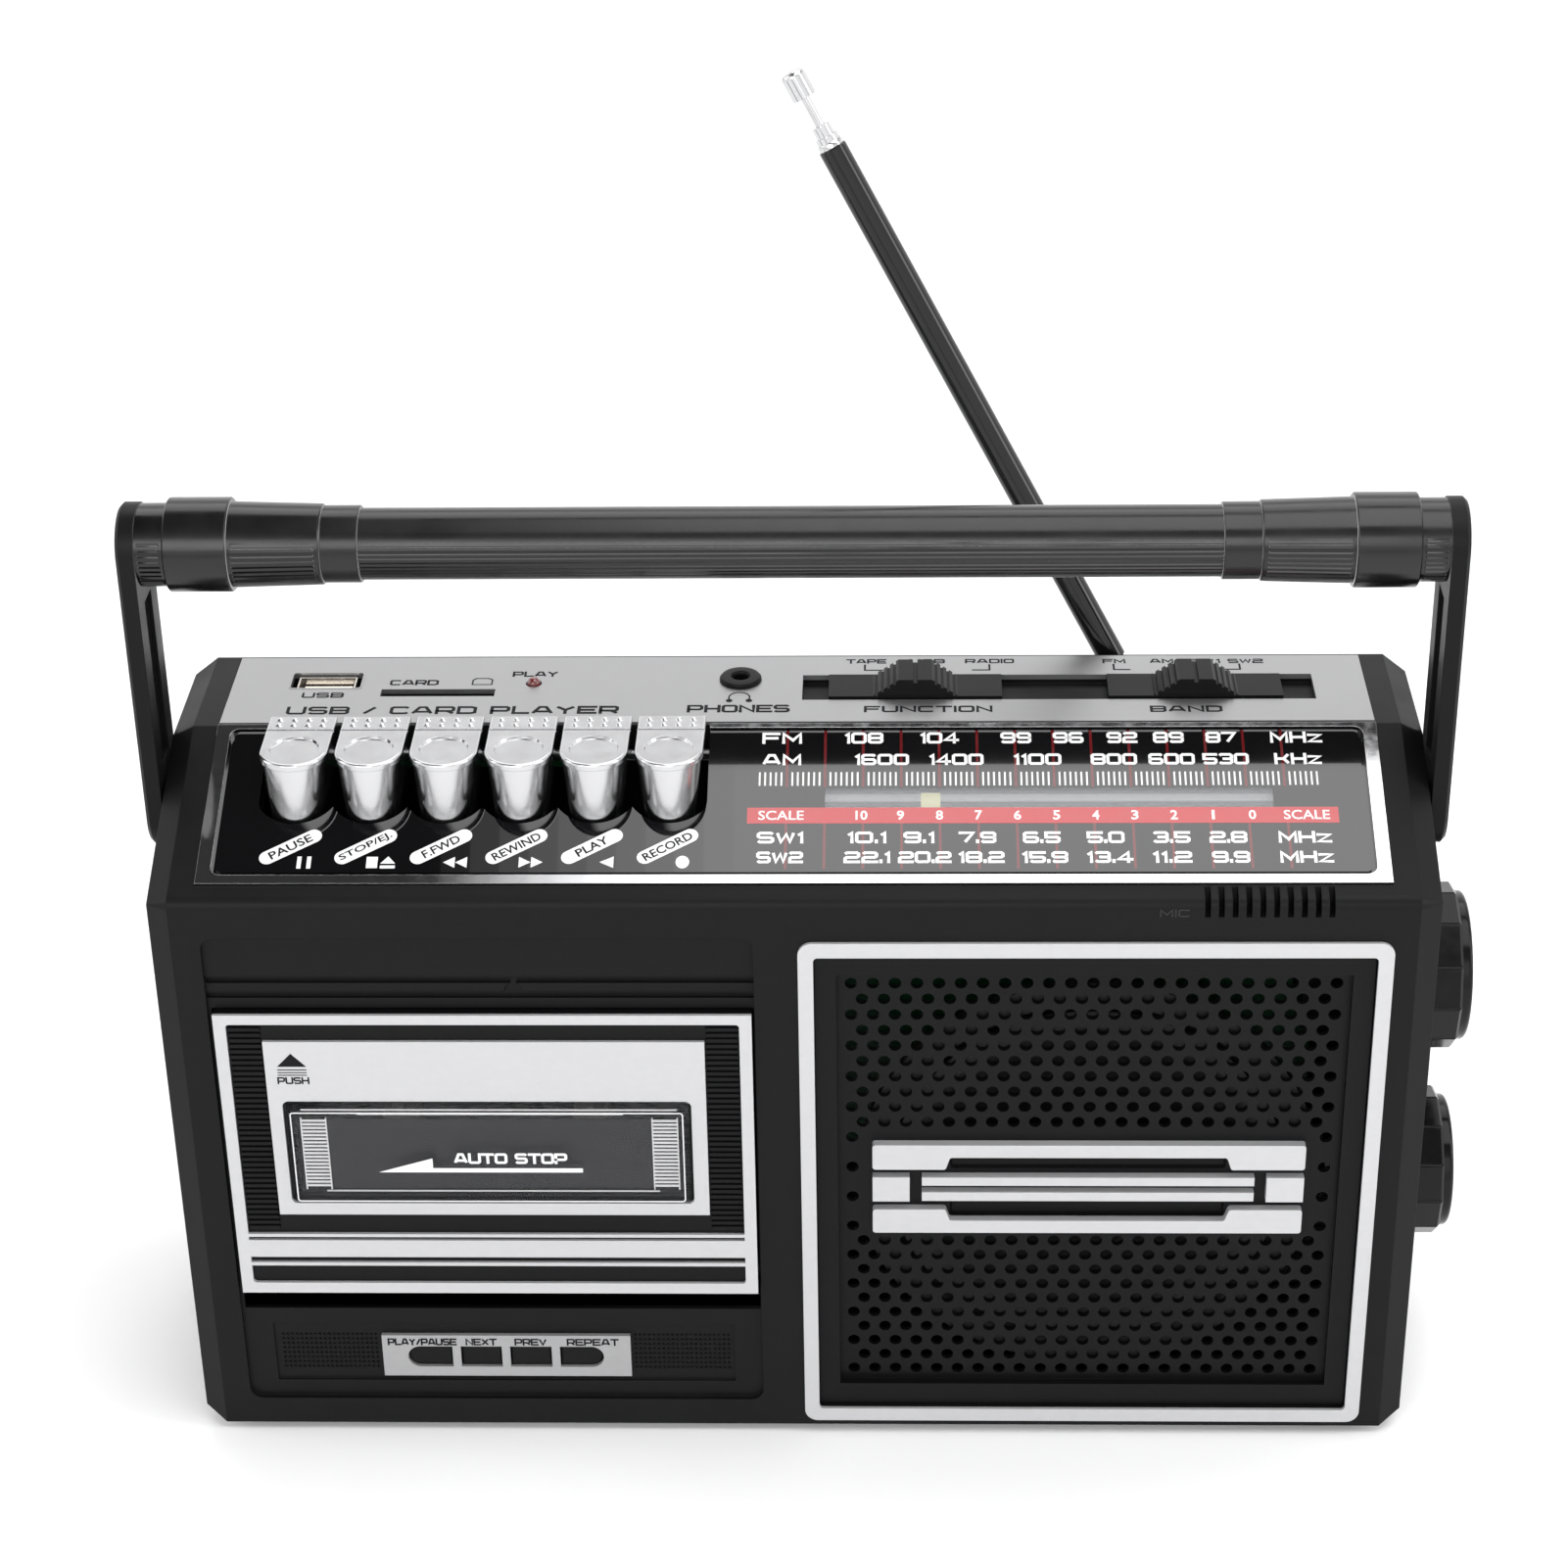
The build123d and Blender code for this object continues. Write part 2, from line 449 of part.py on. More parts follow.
with BuildPart() as player_board:
    block((-124.0, -50.0), (18.8, 35.8), BOARD_Z)
    block((-94.6, -65.8), (18.8, 24.4), (BOARD_Z[1] - 0.1, 154.8))
    block((-92.8, -67.6), (20.1, 22.5), (146.0, 156), mode=Mode.SUBTRACT)
pieces["player_board"] = player_board

with BuildPart() as play_lamp:
    rod((*LAMP, BOARD_Z[1]), (0, 0, 1), 1.5, TOP - BOARD_Z[1])
    with Locations((*LAMP, TOP)):
        Sphere(1.5)
pieces["play_lamp"] = play_lamp

with BuildPart() as headphone_jack:
    x, y = JACK
    block((x - 6.5, x + 6.5), (y - 6.5, y + 6.5), (139.0, CEILING))
    rod((x, y, CEILING - 0.5), (0, 0, 1), 4.7, TOP + 0.5 - CEILING + 0.5)
    rod((x, y, TOP + 0.5 - JACK_DEPTH), (0, 0, 1), JACK_R, JACK_DEPTH + 1, mode=Mode.SUBTRACT)
pieces["headphone_jack"] = headphone_jack

# ---------------------------------------------------------------- cassette door
with BuildPart() as cassette_door:
    block(DOOR_X, (DOOR_FRONT, DOOR_BACK), DOOR_Z)
    block(grown(WINDOW_X, -0.6), (DOOR_FRONT - 1, DOOR_BACK + 1), grown(WINDOW_Z, -0.6), mode=Mode.SUBTRACT)
    # guides that a cassette slides into from above, and the ledge that it stands on
    rear = DECK_Y - 2.0
    left, right = CASSETTE_X - 51.6, CASSETTE_X + 51.6
    for inner, outward in ((left, -1), (right, 1)):
        block(sorted((inner, inner + 1.6 * outward)), (DOOR_BACK - 0.5, rear), (45.5, 108.0))
        block(sorted((inner - 4 * outward, inner + 1.6 * outward)), (rear - 1.5, rear), (45.5, 108.0))
    block((left - 1.6, right + 1.6), (DOOR_BACK - 0.5, -24.0), (45.5, 47.5))
    # ears and hinge pins at the lower corners
    for edge, outward in ((DOOR_X[0], -1), (DOOR_X[1], 1)):
        ear_x = sorted((edge, edge - 3 * outward))
        block(ear_x, (DOOR_BACK - 0.5, HINGE_Y + 1.8), grown((HINGE_Z, HINGE_Z), 1.8))
        rod((edge - outward, HINGE_Y, HINGE_Z), (outward, 0, 0), HINGE_R, 5.0)
pieces["cassette_door"] = cassette_door


def foil(x, z, hole_x, hole_z, hole_r):
    """A raised silver frame on the door's face, with a round-cornered window in it."""
    with BuildSketch(Plane.XZ.offset(-DOOR_FRONT)) as outline:
        with Locations((sum(x) / 2, sum(z) / 2)):
            Rectangle(x[1] - x[0], z[1] - z[0])
        with Locations((sum(hole_x) / 2, sum(hole_z) / 2)):
            RectangleRounded(hole_x[1] - hole_x[0], hole_z[1] - hole_z[0], hole_r, mode=Mode.SUBTRACT)
    extrude(outline.sketch, amount=FOIL)


with BuildPart() as door_trim:
    foil(DOOR_X, DOOR_Z, grown(DOOR_X, -DOOR_EDGE), (42.9, 112.0), 0.8)
    foil(PLATE_X, PLATE_Z, WINDOW_X, WINDOW_Z, 1.4)
    for strip in DOOR_STRIPS:
        block(grown(DOOR_X, -DOOR_EDGE), (DOOR_FRONT - FOIL, DOOR_FRONT), strip)
pieces["door_trim"] = door_trim

with BuildPart() as door_window:
    block(grown(WINDOW_X, -0.7), (DOOR_FRONT - 2.6, DOOR_BACK - 0.6), grown(WINDOW_Z, -0.7))
    chamfer(door_window.faces().sort_by(Axis.Y)[0].edges(), 0.8)
    block(grown(WINDOW_X, -2.2), (DOOR_FRONT - 1.0, DOOR_BACK), grown(WINDOW_Z, -2.2), mode=Mode.SUBTRACT)
pieces["door_window"] = door_window

# ---------------------------------------------------------------- cassette deck
HUBS = [(CASSETTE_X + side * HUB_SPACING / 2, HUB_Z) for side in (-1, 1)]

with BuildPart() as deck_chassis:
    block((-121.0, -12.0), (DECK_Y, DECK_Y + DECK_T), (48.0, 128.0))
    for (x, z) in HUBS:
        rod((x, DECK_Y - 1, z), (0, 1, 0), 1.5 + RUN, 5, mode=Mode.SUBTRACT)
    rod((CAPSTAN[0], DECK_Y - 1, CAPSTAN[1]), (0, 1, 0), 1.25 + RUN, 5, mode=Mode.SUBTRACT)
    for x in (-117.0, -16.0):
        rod((x, DECK_Y, 124.0), (0, -1, 0), 2.5, DECK_Y - FRONT - WALL)
pieces["deck_chassis"] = deck_chassis

with BuildPart() as tape_heads:
    for x, width in ((CASSETTE_X, 13.0), (CASSETTE_X - 19.0, 10.0)):
        block((x - width / 2, x + width / 2), (DECK_Y - 8.0, DECK_Y), (104.5, 114.0))
        with Locations((x, DECK_Y - 5.0, 104.5)):
            Cylinder(width / 2, 6.0, rotation=(90, 0, 0))
pieces["tape_heads"] = tape_heads


def reel_spindle(x, z):
    """A splined hub that turns a cassette's reel, on a shaft with a driven disc behind the chassis."""
    with BuildPart() as spindle:
        rod((x, DECK_Y - 0.5, z), (0, -1, 0), 3.4, 9.0)
        with Locations(Plane(origin=(x, DECK_Y - 3.0, z), z_dir=(0, -1, 0))):
            with PolarLocations(3.6, 6):
                Box(1.8, 1.1, 6.0, align=(Align.CENTER, Align.CENTER, Align.MIN))
        rod((x, DECK_Y - 0.5, z), (0, 1, 0), 1.5, 5.0)
        rod((x, DECK_Y + DECK_T + 0.5, z), (0, 1, 0), 11.0, 2.5)
    return spindle


pieces["supply_spindle"] = reel_spindle(*HUBS[0])
pieces["takeup_spindle"] = reel_spindle(*HUBS[1])

WHEEL_Y = DECK_Y + DECK_T + 4.0
with BuildPart() as capstan_flywheel:
    rod((CAPSTAN[0], WHEEL_Y, CAPSTAN[1]), (0, 1, 0), FLYWHEEL_R, 4.0)
    rod((CAPSTAN[0], WHEEL_Y, CAPSTAN[1]), (0, -1, 0), 1.25, 14.0)
    rod((CAPSTAN[0], WHEEL_Y + 4, CAPSTAN[1]), (0, 1, 0), 1.25, 2.0)
pieces["capstan_flywheel"] = capstan_flywheel

with BuildPart() as motor_pulley:
    rod((MOTOR[0], WHEEL_Y - 0.5, MOTOR[1]), (0, 1, 0), PULLEY_R, 5.0)
    rod((MOTOR[0], WHEEL_Y, MOTOR[1]), (0, 1, 0), 1.0, 9.0)
pieces["motor_pulley"] = motor_pulley

with BuildPart() as deck_motor:
    rod((MOTOR[0], WHEEL_Y + 6.0, MOTOR[1]), (0, 1, 0), 16.5, 22.0)
    rod((MOTOR[0], WHEEL_Y + 5.0, MOTOR[1]), (0, 1, 0), 1.0 + RUN, 12.0, mode=Mode.SUBTRACT)
pieces["deck_motor"] = deck_motor


def belt_loop(grow):
    """The outline of a belt round the flywheel and the motor pulley, at a distance from both."""
    with BuildSketch(Plane.XZ.offset(-(WHEEL_Y + 1.2))) as loop:
        for (x, z), radius in ((CAPSTAN, FLYWHEEL_R), (MOTOR, PULLEY_R)):
            with Locations((x, z)):
                Circle(radius + grow)
        make_hull()
    return loop.sketch


with BuildPart() as drive_belt:
    extrude(belt_loop(1.5), amount=-1.6)
    extrude(belt_loop(0.35), amount=-1.6, mode=Mode.SUBTRACT)
pieces["drive_belt"] = drive_belt

# ---------------------------------------------------------------- player keypad
with BuildPart() as keypad_plate:
    floor = FRONT + STRIP_DEPTH
    block(PAD_X, (floor - 1.0, floor), PAD_Z)
    for name in BUTTONS:
        button_blank(name, (floor - 3, floor + 1), 0.3, mode=Mode.SUBTRACT)
pieces["keypad_plate"] = keypad_plate


for name in BUTTONS:
    with BuildPart() as button:
        button_blank(name, (BUTTON_FACE, FRONT + WALL + 1.3))
        fillet(button.faces().sort_by(Axis.Y)[0].edges(), 0.3)
        button_blank(name, (FRONT + WALL + 1.2, FRONT + WALL + 2.4), 1.0)
    pieces[name] = button

# ---------------------------------------------------------------- loudspeaker
with BuildPart() as speaker_grille:
    step = FRONT + 1.0
    back = MESH_Y + MESH_T
    block(grown(GRILLE_X, -0.2), (step, back), grown(GRILLE_Z, -0.2))
    block(grown(GRILLE_X, 1.2), (FRONT + WALL, back), grown(GRILLE_Z, 1.2))
    block(MESH_X, (step - 1, MESH_Y), MESH_Z, mode=Mode.SUBTRACT)
    # scooped hollows behind the notches of the two bars
    for scoop in SCOOP_Z:
        with BuildSketch(Plane.XZ.offset(-MESH_Y)):
            with Locations((BARS_X, sum(scoop) / 2)):
                RectangleRounded(2 * NOTCH_HALF, scoop[1] - scoop[0], 0.8)
        extrude(amount=-0.9, taper=30, mode=Mode.SUBTRACT)
    with BuildSketch(Plane.XZ.offset(-back)):
        for row in range(HOLE_ROWS):
            z = SPEAKER_Z + HOLE_DZ * ((HOLE_ROWS - 1) / 2 - row)
            columns = HOLE_COLS - row % 2
            spots = [SPEAKER_X + HOLE_DX * (i - (columns - 1) / 2) for i in range(columns)]
            if row in PLAIN_ROWS:
                spots = [spots[0], spots[-1]] if row % 2 == 0 else []
            if spots:
                with Locations(*[(x, z) for x in spots]):
                    Circle(HOLE_R)
    extrude(amount=MESH_T + 1, mode=Mode.SUBTRACT)
pieces["speaker_grille"] = speaker_grille

with BuildPart() as speaker_trim:
    block(TRIM_X, (FRONT - 0.8, FRONT), TRIM_Z)
    fillet(speaker_trim.edges().filter_by(Axis.Y), 3.0)
    with BuildSketch(Plane.XZ.offset(-FRONT)):
        with Locations((sum(GRILLE_X) / 2, sum(GRILLE_Z) / 2)):
            RectangleRounded(GRILLE_X[1] - GRILLE_X[0], GRILLE_Z[1] - GRILLE_Z[0], 1.0)
    extrude(amount=2, mode=Mode.SUBTRACT)
    # two notched bars across the middle of the grille, with thin strips and end blocks between
    for outer, inner, lip in ((79.1, 75.8, 72.6), (55.5, 58.8, 61.8)):
        with BuildSketch(Plane.XZ.offset(-MESH_Y)) as bar:
            Polygon(
                (BARS_X - BARS_HALF, outer),
                (BARS_X + BARS_HALF, outer),
                (BARS_X + BARS_HALF, lip),
                (BARS_X + NOTCH_HALF + 1.0, lip),
                (BARS_X + NOTCH_HALF, inner),
                (BARS_X - NOTCH_HALF, inner),
                (BARS_X - NOTCH_HALF - 1.0, lip),
                (BARS_X - BARS_HALF, lip),
                align=None,
            )
            fillet(bar.vertices(), 0.7)
        extrude(amount=BAR_T)
    for strip in ((68.3, 70.5), (64.2, 66.5)):
        block(grown((BARS_X, BARS_X), 36.6), (MESH_Y - BAR_T, MESH_Y), strip)
    for side in (-1, 1):
        block_x = sorted((BARS_X + side * BARS_HALF, BARS_X + side * (BARS_HALF - 8.2)))
        block(block_x, (MESH_Y - BAR_T, MESH_Y), (64.0, 70.5))
pieces["speaker_trim"] = speaker_trim

with BuildPart() as speaker_frame:
    with BuildSketch(Plane.XY):
        Polygon(
            (51.0, 0.0), (51.0, 2.2), (48.5, 2.2), (30.0, 20.0), (30.0, 22.5), (25.0, 22.5), (25.0, 35.0),
            (0.0, 35.0), (0.0, 24.5), (11.0, 24.5), (11.0, 20.5), (28.0, 19.0), (45.5, 0.0),
            align=None,
        )
    revolve(axis=Axis.Y)
    for side in (-1, 1):
        block((side * 40 - 7, side * 40 + 7), (7.0, 16.0), (-9.0, 9.0), mode=Mode.SUBTRACT)
speaker_frame.part.position = (SPEAKER_X, MESH_Y + MESH_T, SPEAKER_Z)
pieces["speaker_frame"] = speaker_frame

with BuildPart() as speaker_cone:
    with BuildSketch(Plane.XY):
        Polygon(
            (43.5, 0.3), (43.5, 1.0), (40.0, 1.6), (10.0, 16.0), (10.0, 23.5), (9.4, 23.5), (9.4, 14.0),
            (7.0, 12.2), (0.0, 11.4), (0.0, 10.6), (7.5, 11.4), (10.5, 13.8), (39.5, 0.3),
            align=None,
        )
    revolve(axis=Axis.Y)
speaker_cone.part.position = (SPEAKER_X, MESH_Y + MESH_T, SPEAKER_Z)
pieces["speaker_cone"] = speaker_cone

# ---------------------------------------------------------------- tuning and volume
def knob(centre, radius, inner_end):
    """A twelve-sided knob with grooved corners and a round cap, on a shaft into the cabinet."""
    y, z = centre
    base, cap = WIDTH / 2 + 0.8, 2.4
    with BuildPart() as turned:
        with BuildSketch(Plane(origin=(base, y, z), x_dir=(0, 1, 0), z_dir=(1, 0, 0))):
            RegularPolygon(radius, KNOB_SIDES)
        extrude(amount=KNOB_FACE - cap - base)
        chamfer(turned.edges().group_by(Axis.X)[-1], 0.6)
        with Locations(Plane(origin=(base - 1, y, z), x_dir=(0, 1, 0), z_dir=(1, 0, 0))):
            with PolarLocations(radius, KNOB_SIDES):
                Cylinder(0.45, 20, align=(Align.CENTER, Align.CENTER, Align.MIN), mode=Mode.SUBTRACT)
        rod((KNOB_FACE - cap - 0.5, y, z), (1, 0, 0), radius - 2.0, cap + 0.5)
        fillet(turned.edges().group_by(Axis.X)[-1], 1.0)
        rod((KNOB_FACE - 0.8, y, z), (1, 0, 0), radius - 4.5, 2.0, mode=Mode.SUBTRACT)
        rod((inner_end, y, z), (1, 0, 0), KNOB_SHAFT_R, base - inner_end + 1)
    return turned


pieces["tuning_knob"] = knob(TUNING_YZ, TUNING_R, SIDE - 15)
pieces["volume_knob"] = knob(VOLUME_YZ, VOLUME_R, SIDE - 12)

with BuildPart() as tuning_capacitor:
    y, z = TUNING_YZ
    block((SIDE - 22, SIDE - 4), (y - 11, y + 7), (z - 10, z + 10))
    rod((SIDE - 5, y, z), (1, 0, 0), 5.0, 5.0)
    rod((SIDE - 16, y, z), (1, 0, 0), KNOB_SHAFT_R + RUN, 20, mode=Mode.SUBTRACT)
pieces["tuning_capacitor"] = tuning_capacitor

with BuildPart() as volume_potentiometer:
    y, z = VOLUME_YZ
    rod((SIDE - 14, y, z), (1, 0, 0), 8.5, 10.0)
    rod((SIDE - 5, y, z), (1, 0, 0), 4.5, 5.0)
    rod((SIDE - 12.5, y, z), (1, 0, 0), KNOB_SHAFT_R + RUN, 20, mode=Mode.SUBTRACT)
pieces["volume_potentiometer"] = volume_potentiometer

# ---------------------------------------------------------------- electronics and power
with BuildPart() as main_circuit_board:
    block((-6.0, 118.0), (11.0, 12.6), (44.0, 138.0))
    block((10.0, 40.0), (12.5, 16.0), (60.0, 66.0))
    block((60.0, 74.0), (12.5, 22.0), (100.0, 112.0))
    for x, z in ((20.0, 92.0), (34.0, 110.0), (52.0, 78.0), (92.0, 66.0), (100.0, 120.0)):
        rod((x, 12.5, z), (0, 1, 0), 4.5, 11.0)
pieces["main_circuit_board"] = main_circuit_board

with BuildPart() as mains_transformer:
    block((88.5, 124.0), (7.5, 24.0), (7.5, 40.5))
    block((92.0, 120.5), (6.3, 25.2), (12.0, 36.0))
pieces["mains_transformer"] = mains_transformer

with BuildPart() as mains_inlet:
    block(grown(INLET_X, -0.2), (26.0, BACK - 0.4), grown(INLET_Z, -0.2))
    block((101.5, 115.5), (30.0, BACK + 1), (20.5, 28.0), mode=Mode.SUBTRACT)
    for x in (104.6, 112.4):
        rod((x, 29.5, 24.25), (0, 1, 0), 1.1, 7.5)
pieces["mains_inlet"] = mains_inlet

with BuildPart() as battery_contacts:
    y, z = 22.5, CELL_Z[0] + 14.0
    block((CELL_X[0], CELL_X[0] + 0.5), (y - 9, y + 9), (z - 9, z + 9))
    rod((CELL_X[0] + 0.5, y, z), (1, 0, 0), 3.0, 1.2)
    block((CELL_X[1] - 0.5, CELL_X[1]), (y - 9, y + 9), (z - 9, z + 9))
    with Locations(*[(CELL_X[1] - 1.2 - 1.25 * i, y, z) for i in range(4)]):
        Torus(6.5, 0.75, rotation=(0, 90, 0))
pieces["battery_contacts"] = battery_contacts

with BuildPart() as battery_cover:
    block(HATCH_X, (BACK - 2.2, BACK), HATCH_Z)
    for i in range(6):
        low = 26.0 - 1.6 * i
        block((-27.0, -15.0), (BACK - 0.6, BACK + 1), (low, low + 0.8), mode=Mode.SUBTRACT)
pieces["battery_cover"] = battery_cover

# ---------------------------------------------------------------- handle
def handle_arm(side):
    """A flat round-ended arm with a trunnion that turns in the end of the cabinet."""
    near, far = side * ARM_IN, side * ARM_OUT
    with BuildPart() as arm:
        with BuildSketch(Plane.YZ.offset(min(near, far))):
            with Locations((HANDLE_Y, (PIVOT_Z + GRIP_Z) / 2)):
                Rectangle(ARM_R * 2, GRIP_Z - PIVOT_Z)
            with Locations((HANDLE_Y, PIVOT_Z), (HANDLE_Y, GRIP_Z)):
                Circle(ARM_R)
        extrude(amount=ARM_OUT - ARM_IN)
        outside = arm.faces().sort_by(Axis.X)[-1 if side > 0 else 0]
        chamfer(outside.edges(), 0.8)
        channel_x = sorted((near - side, near + side * 1.2))
        block(channel_x, grown((HANDLE_Y, HANDLE_Y), 3.5), (PIVOT_Z + 12, GRIP_Z - 12), mode=Mode.SUBTRACT)
        rod((near + side * 0.5, HANDLE_Y, PIVOT_Z), (-side, 0, 0), PIVOT_R, 6.5)
    return arm


pieces["left_handle_arm"] = handle_arm(-1)
pieces["right_handle_arm"] = handle_arm(1)

with BuildPart() as handle_grip:
    with BuildSketch(Plane.XY):
        half = [
            (0, 7.65), (91.0, 7.65), (91.0, 8.25), (99.0, 8.25), (99.0, 8.65), (118.5, 9.2),
            (118.5, 10.1), (132.0, 10.1), (132.0, 8.9), (ARM_IN, 8.9),
        ]
        Polygon(
            *[(-x, r) for x, r in reversed(half[1:])],
            *half[1:],
            (ARM_IN, 0),
            (-ARM_IN, 0),
            align=None,
        )
    revolve(axis=Axis.X)
handle_grip.part.position = (0, HANDLE_Y, GRIP_Z)
pieces["handle_grip"] = handle_grip

# ---------------------------------------------------------------- aerial
pin_way = aerial_plane().x_dir

with BuildPart() as aerial_bracket:
    block(grown((AERIAL[0], AERIAL[0]), 8.0), (BACK, AERIAL[1] + 5.2), BRACKET_Z)
    fillet(aerial_bracket.edges().filter_by(Axis.Z).group_by(Axis.Y)[-1], 3.0)
    rod((AERIAL[0], AERIAL[1], 130.0), (0, 0, 1), SWIVEL_R + RUN, 20, mode=Mode.SUBTRACT)
pieces["aerial_bracket"] = aerial_bracket

with BuildPart() as aerial_base:
    rod((AERIAL[0], AERIAL[1], 141.3), (0, 0, 1), 4.1, 5.4)
    rod((AERIAL[0], AERIAL[1], 133.0), (0, 0, 1), SWIVEL_R, 9.0)
    fork = Plane(origin=AERIAL, x_dir=pin_way, z_dir=(0, 0, 1))
    for side in (-1, 1):
        with Locations(fork.location * Location((side * 2.4, 0, -1.0))):
            Box(1.4, 5.2, 9.0)
    rod(tuple(Vector(*AERIAL) - pin_way * 3.1), tuple(pin_way), 1.2, 6.2)
pieces["aerial_base"] = aerial_base

with BuildPart() as aerial_tube:
    with Locations(aerial_plane(-2.2).location):
        Box(2.6, 4.6, 9.0, align=(Align.CENTER, Align.CENTER, Align.MIN))
    with Locations(aerial_plane(TUBE_START).location):
        Cylinder(TUBE_RADII[0], TUBE_END - TUBE_START, align=(Align.CENTER, Align.CENTER, Align.MIN))
    chamfer(aerial_tube.edges().filter_by(GeomType.CIRCLE).sort_by(Axis.Z)[-1], TUBE_TAPER)
    with Locations(aerial_plane(TUBE_START + 5).location):
        Cylinder(TUBE_RADII[1], 200, align=(Align.CENTER, Align.CENTER, Align.MIN), mode=Mode.SUBTRACT)
    rod(tuple(Vector(*AERIAL) - pin_way * 5), tuple(pin_way), 1.2 + RUN, 10, mode=Mode.SUBTRACT)
pieces["aerial_tube"] = aerial_tube


def aerial_section(radii, start, end):
    """One drawn tube of the telescopic aerial, closed at its lower end."""
    with BuildPart() as section:
        with Locations(aerial_plane(start).location):
            Cylinder(radii[0], end - start, align=(Align.CENTER, Align.CENTER, Align.MIN))
        with Locations(aerial_plane(start + 2).location):
            Cylinder(radii[1], 200, align=(Align.CENTER, Align.CENTER, Align.MIN), mode=Mode.SUBTRACT)
    return section


pieces["aerial_outer_section"] = aerial_section(SECTION_RADII[0], 14.0, TUBE_END + 2.6)
pieces["aerial_inner_section"] = aerial_section(SECTION_RADII[1], 18.0, TUBE_END + 5.2)

with BuildPart() as aerial_rod:
    with Locations(aerial_plane(30.0).location):
        Cylinder(ROD_R, TIP_START - 29.0, align=(Align.CENTER, Align.CENTER, Align.MIN))
    with Locations(aerial_plane(TIP_START).location):
        Cylinder(TIP_R, TIP_LONG, align=(Align.CENTER, Align.CENTER, Align.MIN))
    fillet(aerial_rod.edges().filter_by(GeomType.CIRCLE).sort_by(Axis.Z)[-1], 1.2)
pieces["aerial_rod"] = aerial_rod

# ---------------------------------------------------------------- files
for name, piece in pieces.items():
    piece.part.label = name
    export_step(piece.part, f"parts/{name}.step")
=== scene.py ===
import json
from math import atan2, cos, pi, radians, sin, tau

import bmesh
import bpy
from mathutils import Matrix, Vector


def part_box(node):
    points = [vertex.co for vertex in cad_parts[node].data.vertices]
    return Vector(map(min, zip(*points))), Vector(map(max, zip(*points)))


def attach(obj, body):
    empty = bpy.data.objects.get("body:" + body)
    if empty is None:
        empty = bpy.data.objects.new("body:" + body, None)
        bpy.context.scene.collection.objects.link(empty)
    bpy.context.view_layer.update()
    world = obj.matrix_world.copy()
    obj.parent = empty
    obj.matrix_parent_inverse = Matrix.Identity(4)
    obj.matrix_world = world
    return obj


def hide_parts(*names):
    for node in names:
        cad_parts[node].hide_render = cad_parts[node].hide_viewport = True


# Portable radio cassette recorder: materials for every CAD node, and the printed, ribbed and
# grooved detail that sits on them. Planes are placed in metres. What lies on a plane is in
# millimetres: X across it, Y up it and Z out of it.

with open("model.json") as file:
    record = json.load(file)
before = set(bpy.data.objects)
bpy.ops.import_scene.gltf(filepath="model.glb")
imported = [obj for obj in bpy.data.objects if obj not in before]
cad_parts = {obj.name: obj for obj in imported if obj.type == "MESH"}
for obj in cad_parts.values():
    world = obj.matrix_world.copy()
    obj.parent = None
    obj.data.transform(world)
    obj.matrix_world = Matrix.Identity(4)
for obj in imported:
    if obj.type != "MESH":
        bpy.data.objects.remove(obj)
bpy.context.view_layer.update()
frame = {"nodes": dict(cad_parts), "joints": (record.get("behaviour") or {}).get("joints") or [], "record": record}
NODES = frame["nodes"]
MM = 0.001
INK = 0.03                                  # thickness of a printed layer
STROKE_RISE = 0.002                         # each stroke is thicker by this, so that no two tops coincide

# ---------------------------------------------------------------- places, from the frame
case_low, case_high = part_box("front_cabinet")
FRONT, SEAM, TOP = case_low.y, case_high.y, case_high.z
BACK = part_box("back_cabinet")[1].y
SLOPE_DROP = 0.0188                         # the control panel falls by this from seam to front edge
SHOULDER = TOP - SLOPE_DROP
SLOPE = atan2(SLOPE_DROP, SEAM - FRONT)


def plane(origin, across, up):
    """A matrix from millimetres on a surface to the row frame in metres."""
    across, up = Vector(across), Vector(up)
    facing = Matrix((across, up, across.cross(up))).transposed().to_4x4()
    return Matrix.Translation(origin) @ facing @ Matrix.Scale(MM, 4)


def lifted(base, by):
    """The same plane, raised out of its surface by some millimetres."""
    return base @ Matrix.Translation((0, 0, by))


ON_FRONT = plane((0, FRONT, 0), (1, 0, 0), (0, 0, 1))
ON_BACK = plane((0, BACK, 0), (-1, 0, 0), (0, 0, 1))
ON_TOP = plane((0, 0, TOP), (1, 0, 0), (0, 1, 0))
ON_SLOPE = plane((0, FRONT, SHOULDER), (1, 0, 0), (0, cos(SLOPE), sin(SLOPE)))
ON_DOOR = plane((0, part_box("cassette_door")[0].y, 0), (1, 0, 0), (0, 0, 1))
ON_PLATE = plane((0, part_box("door_trim")[0].y, 0), (1, 0, 0), (0, 0, 1))
ON_LENS = plane((0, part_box("door_window")[0].y, 0), (1, 0, 0), (0, 0, 1))
ON_PAD = plane((0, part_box("keypad_plate")[0].y, 0), (1, 0, 0), (0, 0, 1))


def limits(node, axis):
    """The lowest and highest place of a node along an axis, in millimetres."""
    low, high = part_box(node)
    return low[axis] / MM, high[axis] / MM


def middle(node, axis):
    """The place of a node's middle along an axis, in millimetres."""
    return sum(limits(node, axis)) / 2


def grow(ends, by):
    """A pair of limits, moved apart by a distance."""
    return ends[0] - by, ends[1] + by


# ---------------------------------------------------------------- outlines
def rect(x0, x1, y0, y1):
    """A rectangle, anticlockwise."""
    return [(x0, y0), (x1, y0), (x1, y1), (x0, y1)]


